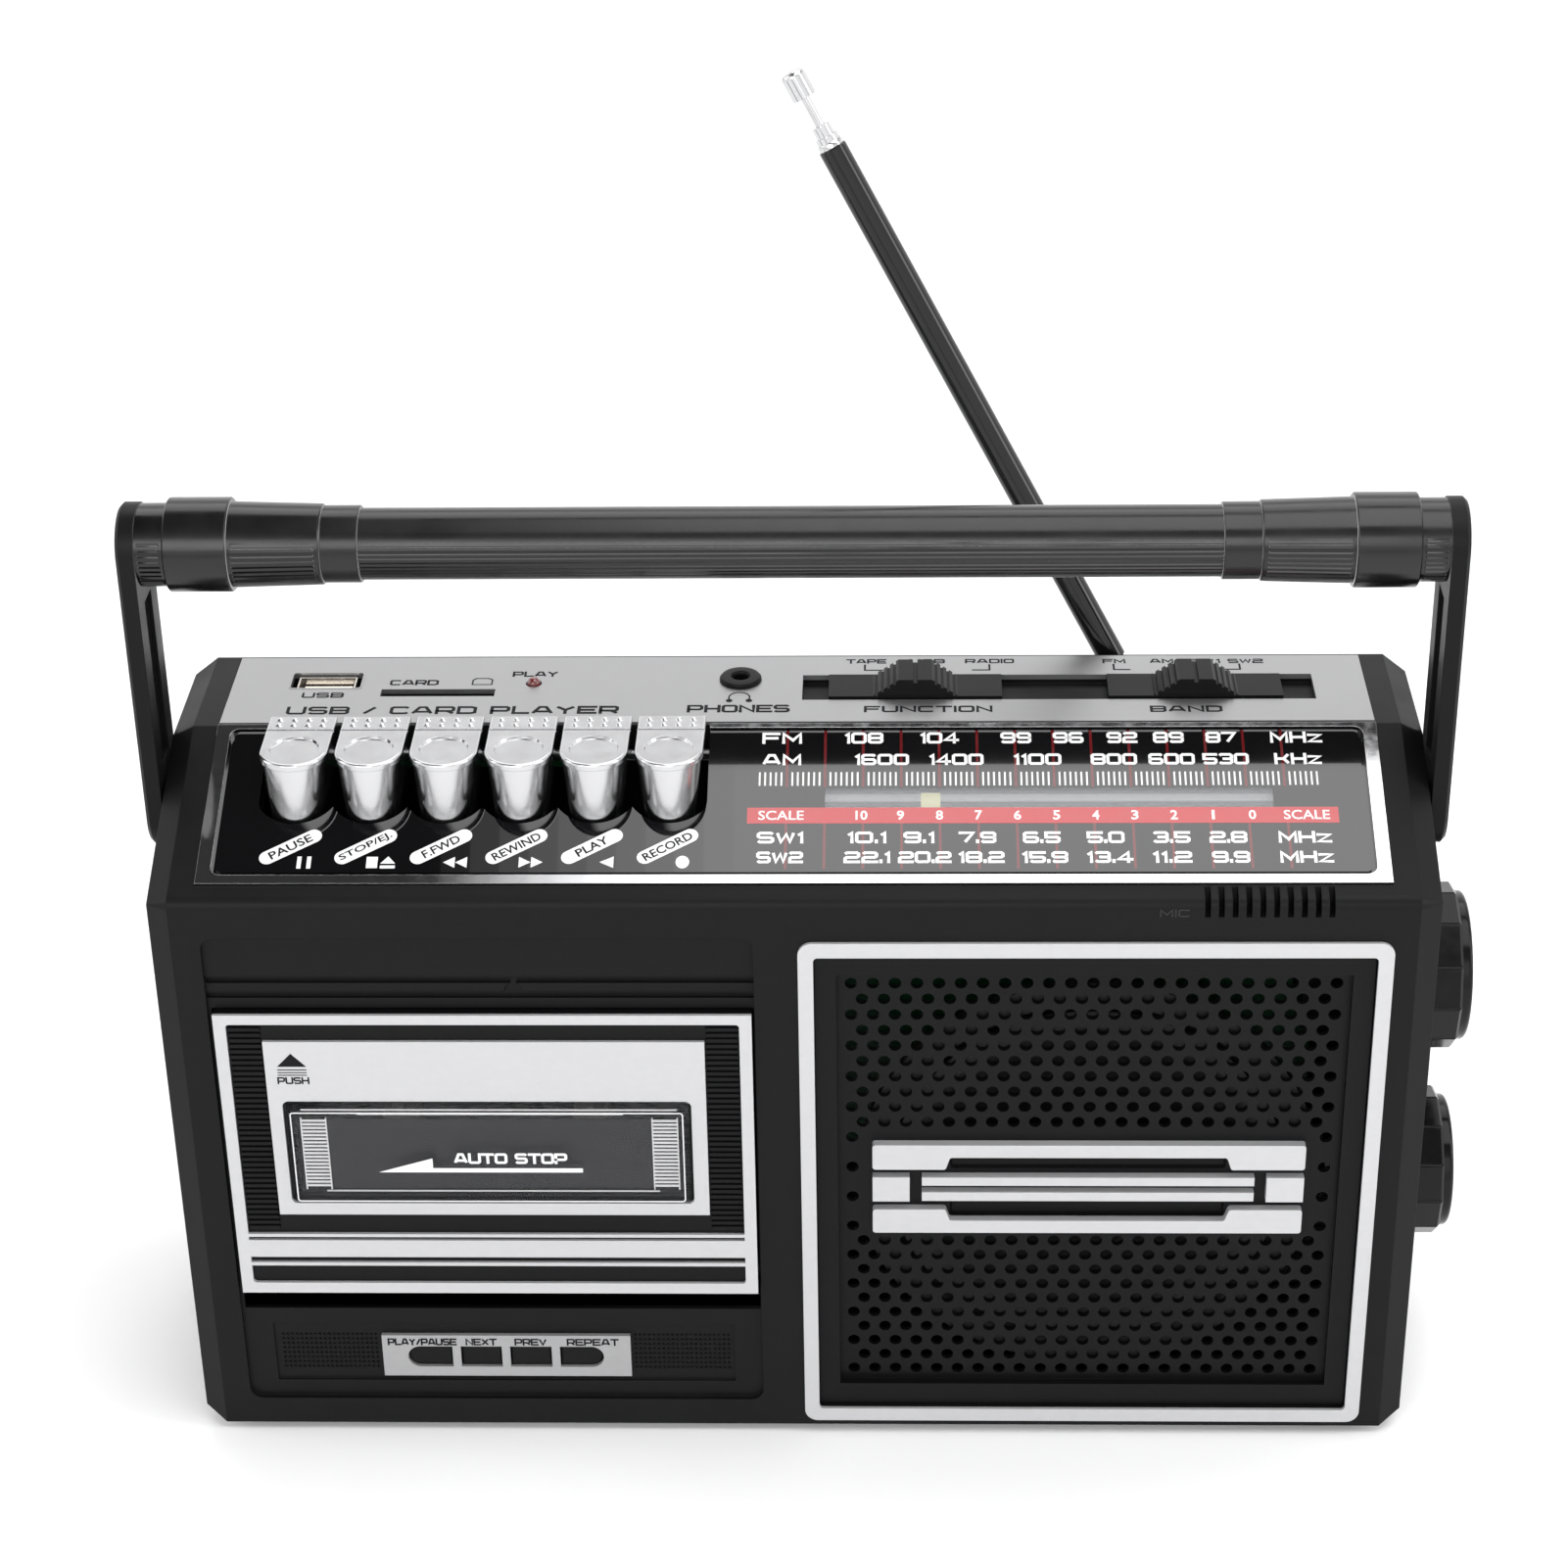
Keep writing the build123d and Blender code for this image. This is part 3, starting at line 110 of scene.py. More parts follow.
def rounded(x0, x1, y0, y1, radius, steps=5):
    """A rectangle with round corners, anticlockwise."""
    corners = ((x1 - radius, y0 + radius, -90), (x1 - radius, y1 - radius, 0),
               (x0 + radius, y1 - radius, 90), (x0 + radius, y0 + radius, 180))
    made = []
    for x, y, start in corners:
        for i in range(steps + 1):
            angle = radians(start + 90 * i / steps)
            made.append((x + radius * cos(angle), y + radius * sin(angle)))
    return made


def disc(x, y, radius, steps=32, stretch=1.0):
    """A disc, stretched along Y by a factor."""
    angles = [tau * i / steps for i in range(steps)]
    return [(x + radius * cos(angle), y + radius * stretch * sin(angle)) for angle in angles]


def turned(outline, centre, degrees):
    """An outline turned about the origin, then moved to a centre."""
    c, s = cos(radians(degrees)), sin(radians(degrees))
    return [(centre[0] + x * c - y * s, centre[1] + x * s + y * c) for x, y in outline]


# Wide lettering drawn as lines on a grid 8 units high: two figures give a point, a bar starts a new
# line, and a star closes it. The number in front is the letter's width in units.
STROKES = {
    "A": "9 00 38 68 90|12 72",
    "B": "8 *00 08 78 87 85 74 83 81 70|04 74",
    "C": "8 87 78 18 07 01 10 70 81",
    "D": "8 *00 08 68 87 81 60",
    "E": "8 88 08 00 80|04 74",
    "F": "8 88 08 00|04 74",
    "H": "8 00 08|80 88|04 84",
    "I": "0 00 08",
    "K": "8 00 08|88 54 04|54 80",
    "L": "7 08 00 70",
    "M": "9 00 08 52 98 90",
    "N": "8 00 08 80 88",
    "O": "8 *10 01 07 18 78 87 81 70",
    "P": "8 00 08 78 87 84 73 03",
    "R": "8 00 08 78 87 84 73 03|53 80",
    "S": "8 87 78 18 07 05 14 74 83 81 70 10 01",
    "T": "8 08 88|48 40",
    "U": "8 08 01 10 70 81 88",
    "V": "8 08 40 88",
    "W": "9 08 20 57 70 98",
    "X": "8 08 80|00 88",
    "Y": "8 08 44 88|44 40",
    "z": "7 06 76 00 70",
    "0": "8 *10 01 07 18 78 87 81 70",
    "1": "2 06 28 20",
    "2": "8 07 18 78 87 85 74 14 03 00 80",
    "3": "8 07 18 78 87 85 74 83 81 70 10 01|34 74",
    "4": "8 60 68 02 82",
    "5": "8 88 08 04 74 83 81 70 10 01",
    "6": "8 87 78 18 07 01 10 70 81 83 74 04",
    "7": "8 08 88 30",
    "8": "8 *10 01 03 14 05 07 18 78 87 85 74 83 81 70|14 74",
    "9": "8 01 10 70 81 87 78 18 07 05 14 84",
    ".": "0 00 01",
    "/": "5 00 58",
    " ": "3",
}
GAP = 2.6                                   # space between letters, in the same units


def line_sides(points, half, closed):
    """The two edges of a line of some half width, with mitred corners that stay short where it turns
    sharply."""
    left, right = [], []
    for i, point in enumerate(points):
        before = points[i - 1] if i or closed else None
        after = points[(i + 1) % len(points)] if i + 1 < len(points) or closed else None
        steps = [(a, b) for a, b in ((before, point), (point, after)) if a and b]
        normals = [Vector((a.y - b.y, b.x - a.x)).normalized() for a, b in steps]
        mitre = sum(normals, Vector((0, 0))).normalized()
        reach = mitre * half / max(mitre.dot(normals[0]), 0.6)
        left.append(point + reach)
        right.append(point - reach)
    return left, right


# ---------------------------------------------------------------- pieces
class Piece:
    """Gathers solids into one mesh in the row frame, which then rides on a CAD body."""

    def __init__(self, name):
        self.name = name
        self.bm = bmesh.new()

    def loops(self, rings, closed=False):
        """Joins rings of points by quads, and caps both ends unless the rings close on themselves."""
        made = [[self.bm.verts.new(p) for p in ring] for ring in rings]
        count = len(made[0])
        pairs = list(zip(made, made[1:])) + ([(made[-1], made[0])] if closed else [])
        for a, b in pairs:
            for i in range(count):
                j = (i + 1) % count
                self.bm.faces.new((a[i], a[j], b[j], b[i]))
        if not closed:
            self.bm.faces.new(list(reversed(made[0])))
            self.bm.faces.new(made[-1])

    def prism(self, base, outline, low, high):
        """An outline drawn out along the plane's Z."""
        self.loops([[base @ Vector((x, y, z)) for x, y in outline] for z in (low, high)])

    def taper(self, base, outline, low, high, share):
        """A prism whose far end is smaller, by a share, about the outline's middle."""
        cx = sum(x for x, y in outline) / len(outline)
        cy = sum(y for x, y in outline) / len(outline)
        far = [(cx + (x - cx) * share, cy + (y - cy) * share) for x, y in outline]
        ends = ((outline, low), (far, high))
        self.loops([[base @ Vector((x, y, z)) for x, y in points] for points, z in ends])

    def ring(self, base, outer, inner, low, high):
        """A closed frame between two outlines that have the same number of points."""
        edges = ((outer, low), (outer, high), (inner, high), (inner, low))
        self.loops([[base @ Vector((x, y, z)) for x, y in outline] for outline, z in edges], closed=True)

    def collar(self, base, profile, steps):
        """A ring turned about the plane's Z: the profile is a closed loop of radii and heights."""
        angles = [tau * i / steps for i in range(steps)]
        rings = [[base @ Vector((r * cos(a), r * sin(a), z)) for a in angles] for r, z in profile]
        self.loops(rings, closed=True)

    def letters(self, base, text, centre, size, degrees=0.0, bold=0.0):
        """Raised lettering, fitted to a width and a height about a centre."""
        curve = bpy.data.curves.new(self.name, "FONT")
        curve.body = text
        curve.resolution_u = 3
        curve.offset = bold
        curve.extrude = 0.5
        holder = bpy.data.objects.new(self.name, curve)
        mesh = bpy.data.meshes.new_from_object(holder)
        xs = [v.co.x for v in mesh.vertices]
        ys = [v.co.y for v in mesh.vertices]
        to_middle = Matrix.Translation((-(min(xs) + max(xs)) / 2, -(min(ys) + max(ys)) / 2, 0.5))
        scale = Matrix.Diagonal((size[0] / (max(xs) - min(xs)), size[1] / (max(ys) - min(ys)), INK, 1))
        placed = Matrix.Translation((*centre, 0)) @ Matrix.Rotation(radians(degrees), 4, "Z")
        mesh.transform(base @ placed @ scale @ to_middle)
        self.bm.from_mesh(mesh)
        bpy.data.meshes.remove(mesh)
        bpy.data.objects.remove(holder)
        bpy.data.curves.remove(curve)

    def wide(self, base, text, centre, size, pen):
        """Lettering with wide, even strokes of a pen's width, fitted about a centre."""
        glyphs = [STROKES[letter].split(" ", 1) for letter in text]
        total = sum(int(g[0]) for g in glyphs) + GAP * (len(glyphs) - 1)
        place = base @ Matrix.Translation((*centre, 0))
        step_x, step_y = (size[0] - pen) / total, (size[1] - pen) / 8
        start, height = 0.0, INK
        for glyph in glyphs:
            for stroke in glyph[1].split("|") if len(glyph) > 1 else ():
                closed = stroke.startswith("*")
                points = [
                    Vector(((start + int(p[0])) * step_x - (size[0] - pen) / 2, (int(p[1]) - 4) * step_y))
                    for p in stroke.strip("*").split()
                ]
                open_ends = () if closed else ((0, 1), (-1, -2))
                for end, inner in open_ends:
                    run = points[end] - points[inner]
                    if min(abs(run.x), abs(run.y)) < 1e-6:
                        points[end] += run.normalized() * pen / 2
                left, right = line_sides(points, pen / 2, closed)
                if closed:
                    self.ring(place, left, right, 0, height)
                else:
                    self.prism(place, left + right[::-1], 0, height)
                height += STROKE_RISE
            start += int(glyph[0]) + GAP

    def done(self, body, material, slot=None, smooth=None, bevel=0.0, replaces=()):
        """Makes the mesh object. Smooth is the sharpest angle shaded smooth, and bevel a width."""
        bmesh.ops.remove_doubles(self.bm, verts=self.bm.verts, dist=1e-7)
        bmesh.ops.recalc_face_normals(self.bm, faces=self.bm.faces)
        mesh = bpy.data.meshes.new(self.name)
        self.bm.to_mesh(mesh)
        self.bm.free()
        mesh.materials.append(MATERIALS[material])
        made = bpy.data.objects.new(self.name, mesh)
        bpy.context.scene.collection.objects.link(made)
        if smooth:
            mesh.shade_smooth()
            mesh.set_sharp_from_angle(angle=radians(smooth))
        if bevel:
            edge = made.modifiers.new("soft_edges", "BEVEL")
            edge.width = bevel * MM
            edge.segments = 2
            edge.limit_method = "ANGLE"
            edge.angle_limit = radians(50)
        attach(made, body)
        if replaces:
            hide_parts(*replaces)
        return made


# ---------------------------------------------------------------- materials
MATERIALS = {}


def finish(name, colour, rough, metallic=0.0, spread=0.1, rough_spread=0.05, patch=12.0, stretch=(1, 1, 1),
           grain=None, edge=0.0, sockets=None):
    """A Principled material. Colour and roughness wander between patches of a size in millimetres,
    grain is the size and strength of a fine bump, and edge rounds the look of sharp corners."""
    material = bpy.data.materials.new(name)
    material.use_nodes = True
    tree = material.node_tree
    shader = tree.nodes["Principled BSDF"]
    shader.inputs["Metallic"].default_value = metallic
    for socket, value in (sockets or {}).items():
        shader.inputs[socket].default_value = value

    def add(kind, **inputs):
        node = tree.nodes.new(kind)
        for socket, value in inputs.items():
            node.inputs[socket.replace("_", " ")].default_value = value
        return node

    place = add("ShaderNodeTexCoord")
    mapping = add("ShaderNodeMapping", Scale=stretch)
    tree.links.new(place.outputs["Object"], mapping.inputs["Vector"])
    clouds = add("ShaderNodeTexNoise", Scale=1 / (patch * MM), Detail=4.0, Roughness=0.6)
    tree.links.new(mapping.outputs["Vector"], clouds.inputs["Vector"])
    tint = add("ShaderNodeMix")
    tint.data_type = "RGBA"
    tint.inputs[6].default_value = (*[c * (1 - spread) for c in colour], 1)
    tint.inputs[7].default_value = (*[min(1.0, c * (1 + spread)) for c in colour], 1)
    tree.links.new(clouds.outputs["Fac"], tint.inputs[0])
    tree.links.new(tint.outputs[2], shader.inputs["Base Color"])
    wander = add("ShaderNodeMapRange", From_Min=0.3, From_Max=0.7)
    wander.inputs["To Min"].default_value = max(0.0, rough - rough_spread)
    wander.inputs["To Max"].default_value = rough + rough_spread
    tree.links.new(clouds.outputs["Fac"], wander.inputs["Value"])
    tree.links.new(wander.outputs["Result"], shader.inputs["Roughness"])
    normal = None
    if edge:
        corner = add("ShaderNodeBevel", Radius=edge * MM)
        corner.samples = 4
        normal = corner.outputs["Normal"]
    if grain:
        speckle = add("ShaderNodeTexNoise", Scale=1 / (grain[0] * MM), Detail=2.0)
        tree.links.new(mapping.outputs["Vector"], speckle.inputs["Vector"])
        bump = add("ShaderNodeBump", Strength=grain[1], Distance=0.1 * MM)
        tree.links.new(speckle.outputs["Fac"], bump.inputs["Height"])
        if normal:
            tree.links.new(normal, bump.inputs["Normal"])
        normal = bump.outputs["Normal"]
    if normal:
        tree.links.new(normal, shader.inputs["Normal"])
    MATERIALS[name] = material


SATIN = {"Specular IOR Level": 0.13}
POLISHED = {"Coat Weight": 1.0, "Coat Roughness": 0.01, "Specular IOR Level": 0.3}
BRUSH = (1.0, 26.0, 26.0)                   # draws the patches out along X

finish("black_shell", (0.0055, 0.0055, 0.006), 0.42, spread=0.2, grain=(0.35, 0.2), edge=0.35, sockets=SATIN)
finish("black_plastic", (0.0045, 0.0045, 0.005), 0.36, spread=0.2, grain=(0.45, 0.1), edge=0.12,
       sockets=SATIN)
finish("handle_plastic", (0.004, 0.004, 0.0045), 0.22, spread=0.2, grain=(0.5, 0.05), edge=0.08,
       sockets={"Specular IOR Level": 0.45})
finish("rubber", (0.006, 0.006, 0.0065), 0.5, spread=0.3, patch=3, grain=(0.2, 0.2), edge=0.2, sockets=SATIN)
finish("gloss_black", (0.0025, 0.0025, 0.003), 0.03, spread=0.3, rough_spread=0.01, patch=25,
       sockets=POLISHED)
finish("knob_black", (0.003, 0.003, 0.0035), 0.16, spread=0.2, rough_spread=0.04, patch=4, edge=0.15,
       sockets={"Specular IOR Level": 0.22})
finish("silver_trim", (0.53, 0.53, 0.54), 0.34, 0.35, spread=0.05, rough_spread=0.06, patch=1.6,
       stretch=(0.6, 1, 1), grain=(1.2, 0.02), edge=0.12)
finish("keypad_silver", (0.36, 0.36, 0.365), 0.34, 0.35, spread=0.06, rough_spread=0.06, patch=1.6, edge=0.12)
finish("brushed_panel", (0.37, 0.37, 0.375), 0.34, 0.85, spread=0.06, rough_spread=0.06, patch=6,
       stretch=BRUSH, grain=(2.0, 0.06))
finish("chrome", (0.62, 0.62, 0.63), 0.06, 1.0, spread=0.06, rough_spread=0.03, patch=3, edge=0.1)
finish("chrome_key", (0.60, 0.60, 0.61), 0.20, 1.0, spread=0.05, rough_spread=0.04, patch=5, edge=0.15)
finish("steel", (0.42, 0.42, 0.43), 0.30, 1.0, spread=0.15, rough_spread=0.1, patch=5, stretch=BRUSH,
       grain=(1.0, 0.1))
finish("socket_metal", (0.72, 0.68, 0.62), 0.25, 1.0, spread=0.15, patch=2, grain=(0.6, 0.05))
finish("brass", (0.62, 0.42, 0.16), 0.25, 1.0, spread=0.15, patch=2, grain=(0.5, 0.1))
finish("head_metal", (0.62, 0.62, 0.63), 0.12, 1.0, spread=0.05, patch=2, grain=(0.5, 0.05))
finish("white_plastic", (0.62, 0.62, 0.59), 0.42, spread=0.06, patch=4, grain=(0.4, 0.15))
finish("circuit_board", (0.012, 0.10, 0.035), 0.30, spread=0.5, patch=1.2, stretch=(1, 1, 3),
       grain=(0.8, 0.3))
finish("black_steel", (0.012, 0.012, 0.012), 0.35, spread=0.2, grain=(0.4, 0.2), sockets=SATIN)
finish("paper_cone", (0.014, 0.014, 0.015), 0.85, spread=0.4, patch=2, grain=(0.3, 0.6))
finish("aerial_black", (0.004, 0.004, 0.004), 0.12, spread=0.2, rough_spread=0.03, grain=(3.0, 0.01),
       sockets={"Specular IOR Level": 0.4})
finish("red_lamp", (0.20, 0.008, 0.008), 0.06, spread=0.3, patch=1,
       sockets={"Transmission Weight": 0.4, "Coat Weight": 1.0})
finish("pointer", (0.78, 0.74, 0.38), 0.35, spread=0.08, patch=2, grain=(0.6, 0.05))
finish("clear_window", (0.50, 0.51, 0.53), 0.04, spread=0.03, patch=8,
       sockets={"Alpha": 0.25, "Coat Weight": 1.0})
finish("smoked_window", (0.05, 0.05, 0.055), 0.03, spread=0.05, rough_spread=0.02, patch=10,
       sockets={"Alpha": 0.14, "Coat Weight": 1.0, "Coat Roughness": 0.02})
finish("window_film", (0.024, 0.024, 0.027), 0.45, spread=0.06, patch=9,
       sockets={"Specular IOR Level": 0.22})
# clear plastic coloured opaque white: a painted highlight for the light caught by the window's clear ribs, bars
# and bevel edge
finish("clear_rib_painted_glint", (0.90, 0.90, 0.91), 0.15, spread=0.08, patch=2)
finish("pale_strip", (0.44, 0.445, 0.46), 0.30, spread=0.06, patch=9)
finish("white_ink", (0.84, 0.84, 0.84), 0.2, spread=0.04, patch=2, grain=(0.4, 0.02))
finish("black_ink", (0.006, 0.006, 0.007), 0.6, spread=0.3, patch=1, sockets=SATIN)
finish("red_ink", (0.42, 0.022, 0.028), 0.08, spread=0.08, patch=3, sockets=POLISHED)
finish("red_line", (0.12, 0.007, 0.009), 0.05, spread=0.15, patch=3, sockets=POLISHED)
finish("floor", (0.98, 0.98, 0.98), 0.8, spread=0.01, patch=60, grain=(1.5, 0.02))

# two nodes have a finish that differs from the rest of their slot
OWN_FINISH = {"control_frame": "chrome", "keypad_plate": "keypad_silver"}
for row in frame["record"]["subparts"]:
    node = NODES[row["node"]]
    node.data.materials.clear()
    node.data.materials.append(MATERIALS[OWN_FINISH.get(row["node"], row["material_slot"])])

# ---------------------------------------------------------------- control panel: key labels
KEYS = ("pause_key", "stop_eject_key", "fast_forward_key", "rewind_key", "play_key", "record_key")
KEY_WORDS = ("PAUSE", "STOP/EJ.", "F.FWD", "REWIND", "PLAY", "RECORD")
WORD_WIDTHS, WORD_H = (10.0, 12.4, 8.8, 11.4, 7.6, 11.8), 2.1
PILL_S, PILL_LONG, PILL_WIDE, PILL_TILT = 15.1, 14.6, 3.5, 31.5
SIGN_S, SIGN_H, SIGN_SHIFT = 10.9, 3.2, 3.3


def arrow(x, width, height, way=1):
    """A triangle that points along X, or against it where the way is -1."""
    tail, tip = x - way * width / 2, x + way * width / 2
    return [(tail, -height / 2), (tip, 0), (tail, height / 2)][::way]


def key_signs(number):
    """The outlines of a key's tape sign, about its own middle."""
    h = SIGN_H
    return (
        [rect(-1.5, -0.6, -h / 2, h / 2), rect(0.6, 1.5, -h / 2, h / 2)],
        [rect(-2.8, -0.4, -h / 2 + 0.1, h / 2 - 0.1), rect(0.2, 3.4, -h / 2, -h / 2 + 0.8),
         [(0.2, -h / 2 + 1.3), (3.4, -h / 2 + 1.3), (1.8, h / 2)]],
        [arrow(-1.3, 2.5, h * 0.9, -1), arrow(1.3, 2.5, h * 0.9, -1)],
        [arrow(-1.3, 2.5, h * 0.9), arrow(1.3, 2.5, h * 0.9)],
        [arrow(0.0, 3.0, h * 0.95, -1)],
        [disc(0.0, 0.0, 1.45, stretch=1.15)],
    )[number]


pills, words, signs = Piece("key_label_pills"), Piece("key_label_words"), Piece("key_label_signs")
pill = rounded(-PILL_LONG / 2, PILL_LONG / 2, -PILL_WIDE / 2, PILL_WIDE / 2, PILL_WIDE / 2 - 0.01, steps=8)
on_print = lifted(ON_SLOPE, INK)
for number, key in enumerate(KEYS):
    x = middle(key, 0)
    pills.prism(ON_SLOPE, turned(pill, (x, PILL_S), PILL_TILT), 0, INK)
    word_size = (WORD_WIDTHS[number], WORD_H)
    words.letters(on_print, KEY_WORDS[number], (x, PILL_S), word_size, PILL_TILT, bold=0.015)
    for sign in key_signs(number):
        signs.prism(ON_SLOPE, [(x + SIGN_SHIFT + a, SIGN_S + b) for a, b in sign], 0, INK)
pills.done("cabinet", "white_ink")
words.done("cabinet", "black_ink")
signs.done("cabinet", "white_ink")

# ---------------------------------------------------------------- control panel: dial
RED_FIRST, RED_STEP, RED_COUNT = -1.3, 8.26, 14
RED_S, RED_HALF = (9.0, 46.8), 0.3
TICK_S, TICK_HALF, TICKS_BETWEEN = (31.5, 35.2), 0.19, 6
BAND_X, BAND_S = (-9.7, 117.0), (21.2, 25.5)
LETTER_H, DIGIT_W, PEN = 3.1, 3.35, 0.68
NARROW = {".": 1.35, "1": 1.9}
ROWS = (
    (44.7, "FM", "MHz", (("108", 15.3), ("104", 31.8), ("99", 48.5), ("96", 59.9), ("92", 71.6), ("89", 81.7),
                         ("87", 93.1))),
    (38.7, "AM", "KHz", (("1600", 19.2), ("1400", 35.4), ("1100", 53.0), ("800", 69.6), ("600", 82.1),
                         ("530", 93.8))),
    (17.4, "SW1", "MHz", (("10.1", 16.0), ("9.1", 27.2), ("7.9", 39.7), ("6.5", 53.4), ("5.0", 67.0),
                          ("3.5", 81.0), ("2.8", 93.1))),
    (12.1, "SW2", "MHz", (("22.1", 16.1), ("20.2", 28.4), ("18.2", 40.4), ("15.9", 53.9), ("13.4", 67.7),
                          ("11.2", 80.9), ("9.9", 93.4))),
)
ROW_NAME_X, UNIT_X = -2.5, 109.4
NAME_WIDTHS = {"FM": 8.7, "AM": 8.5, "SW1": 10.0, "SW2": 10.0, "MHz": 11.3, "KHz": 10.2}
SCALE_TOP, SCALE_FIRST, SCALE_STEP = 10, 14.9, 8.37    # the red band counts down to nought
SCALE_S, SCALE_H, SCALE_ENDS = 23.4, 2.5, (-2.4, 110.2)

lines = Piece("dial_red_lines")
for i in range(RED_COUNT):
    x = RED_FIRST + RED_STEP * i
    for low, high in ((RED_S[0], BAND_S[0]), (TICK_S[0] - 0.4, RED_S[1])):
        lines.prism(ON_SLOPE, rect(x - RED_HALF, x + RED_HALF, low, high), 0, INK * 0.5)
lines.done("cabinet", "red_line")

ticks = Piece("dial_ticks")
for i in range(-1, RED_COUNT):
    for j in range(TICKS_BETWEEN):
        x = RED_FIRST + RED_STEP * (i + (j + 1) / (TICKS_BETWEEN + 1))
        if x > RED_FIRST - RED_STEP + 1.5:
            ticks.prism(ON_SLOPE, rect(x - TICK_HALF, x + TICK_HALF, *TICK_S), 0, INK)
ticks.done("cabinet", "white_ink")

band = Piece("dial_scale_band")
band.prism(ON_SLOPE, rect(*BAND_X, *BAND_S), 0, INK)
band.done("cabinet", "red_ink")

figures = Piece("dial_figures")
for s, name, unit, values in ROWS:
    figures.wide(ON_SLOPE, name, (ROW_NAME_X, s), (NAME_WIDTHS[name], LETTER_H), PEN)
    figures.wide(ON_SLOPE, unit, (UNIT_X, s), (NAME_WIDTHS[unit], LETTER_H), PEN)
    for text, x in values:
        width = sum(NARROW.get(letter, DIGIT_W) for letter in text)
        figures.wide(ON_SLOPE, text, (x, s), (width, LETTER_H), PEN)
for i in range(SCALE_TOP + 1):
    text = str(SCALE_TOP - i)
    width = sum(0.6 if letter == "1" else 1.55 for letter in text) + 0.4 * (len(text) - 1)
    figures.letters(on_print, text, (SCALE_FIRST + SCALE_STEP * i, SCALE_S), (width, SCALE_H), bold=0.02)
for x in SCALE_ENDS:
    figures.letters(on_print, "SCALE", (x, SCALE_S), (9.8, SCALE_H), bold=0.01)
figures.done("cabinet", "white_ink")

# pale track under the dial window, with a slot for the pointer's stem
SLOT_X, SLOT_S = limits("dial_window", 0), 28.1
TRACK_LOW, TRACK_HIGH = -2.49, -2.2
track = Piece("pointer_track")
for low, high in ((-2.7, -0.85), (0.85, 2.7)):
    track.prism(ON_SLOPE, rect(*SLOT_X, SLOT_S + low, SLOT_S + high), TRACK_LOW, TRACK_HIGH)
track.done("cabinet", "pale_strip")

# ---------------------------------------------------------------- top panel print
TOP_PEN = 0.21                              # stroke width over letter height
BRACKET_W, BRACKET_Y = 0.45, (31.4, 34.4)
top_print = Piece("top_panel_print")
for text, centre, size in (
    ("USB", (middle("usb_socket", 0), 20.2), (9.4, 2.4)),
    ("CARD", (-86.0, 26.2), (11.0, 2.5)),
    ("PLAY", (middle("play_lamp", 0), 30.2), (10.3, 2.5)),
    ("USB / CARD PLAYER", (-76.0, 12.9), (74.0, 3.6)),
    ("PHONES", (middle("headphone_jack", 0), 13.3), (22.8, 3.5)),
    ("FUNCTION", (29.5, 12.9), (28.4, 2.9)),
    ("BAND", (86.3, 12.7), (15.9, 2.9)),
    ("TAPE", (15.7, 36.0), (9.1, 2.1)),
    ("USB", (29.5, 36.0), (8.0, 2.1)),
    ("RADIO", (43.6, 36.0), (11.1, 2.1)),
    ("FM", (71.7, 35.8), (5.2, 2.1)),
    ("AM", (82.4, 35.8), (5.4, 2.1)),
    ("SW1", (91.8, 35.7), (7.6, 2.1)),
    ("SW2", (101.3, 35.7), (8.0, 2.1)),
):
    top_print.wide(ON_TOP, text, centre, size, size[1] * TOP_PEN)
# brackets that lead from the sliders' outer words to their slots
for outer, inner in ((15.4, 19.6), (43.5, 39.5), (71.5, 75.2), (99.8, 96.0)):
    side = 1 if inner > outer else -1
    top_print.prism(ON_TOP, rect(outer - BRACKET_W / 2, outer + BRACKET_W / 2, *BRACKET_Y), 0, INK)
    foot = sorted((outer + side * BRACKET_W / 2, inner))
    top_print.prism(ON_TOP, rect(*foot, BRACKET_Y[0], BRACKET_Y[0] + BRACKET_W), 0, INK)
# outline of a card with a cut corner
card = [(-73.0, 25.0), (-68.3, 25.0), (-68.3, 27.6), (-69.3, 28.3), (-72.2, 28.3), (-73.0, 27.4)]
cx, cy = -70.6, 26.6
top_print.ring(ON_TOP, card, [(cx + (x - cx) * 0.86, cy + (y - cy) * 0.80) for x, y in card], 0, INK)
# headphones: an arc with two ear pads
jack_x, sign_y = middle("headphone_jack", 0), 18.6
arc = [(jack_x + r * cos(radians(a)), sign_y + r * 1.05 * sin(radians(a)))
       for r, sweep in ((2.5, range(-30, 211, 15)), (2.15, range(210, -31, -15))) for a in sweep]
top_print.prism(ON_TOP, arc, 0, INK)
for side in (-1, 1):
    top_print.prism(ON_TOP, disc(jack_x + side * 2.2, sign_y - 1.5, 0.75, 16), 0, INK)
top_print.done("cabinet", "black_ink")

# rolled lip round the stick socket
LIP_W, LIP_H = 0.35, 0.12
lip_x, lip_y = grow(limits("usb_socket", 0), 1.35), grow(limits("usb_socket", 1), 0.75)
lip = Piece("top_panel_lips")
lip_out = rounded(*grow(lip_x, LIP_W), *grow(lip_y, LIP_W), 1.0)
lip.ring(ON_TOP, lip_out, rounded(*lip_x, *lip_y, 0.7), 0, LIP_H)
lip.done("cabinet", "brushed_panel", "brushed_panel")

contacts = Piece("usb_contacts")
x, y = middle("usb_socket", 0), middle("usb_socket", 1)
for shift in (-3.5, -1.0, 1.0, 3.5):
    contacts.prism(ON_TOP, rect(x + shift - 0.5, x + shift + 0.5, y + 0.1, y + 0.21), -9.0, -2.9)
contacts.done("cabinet", "brass", "brass")

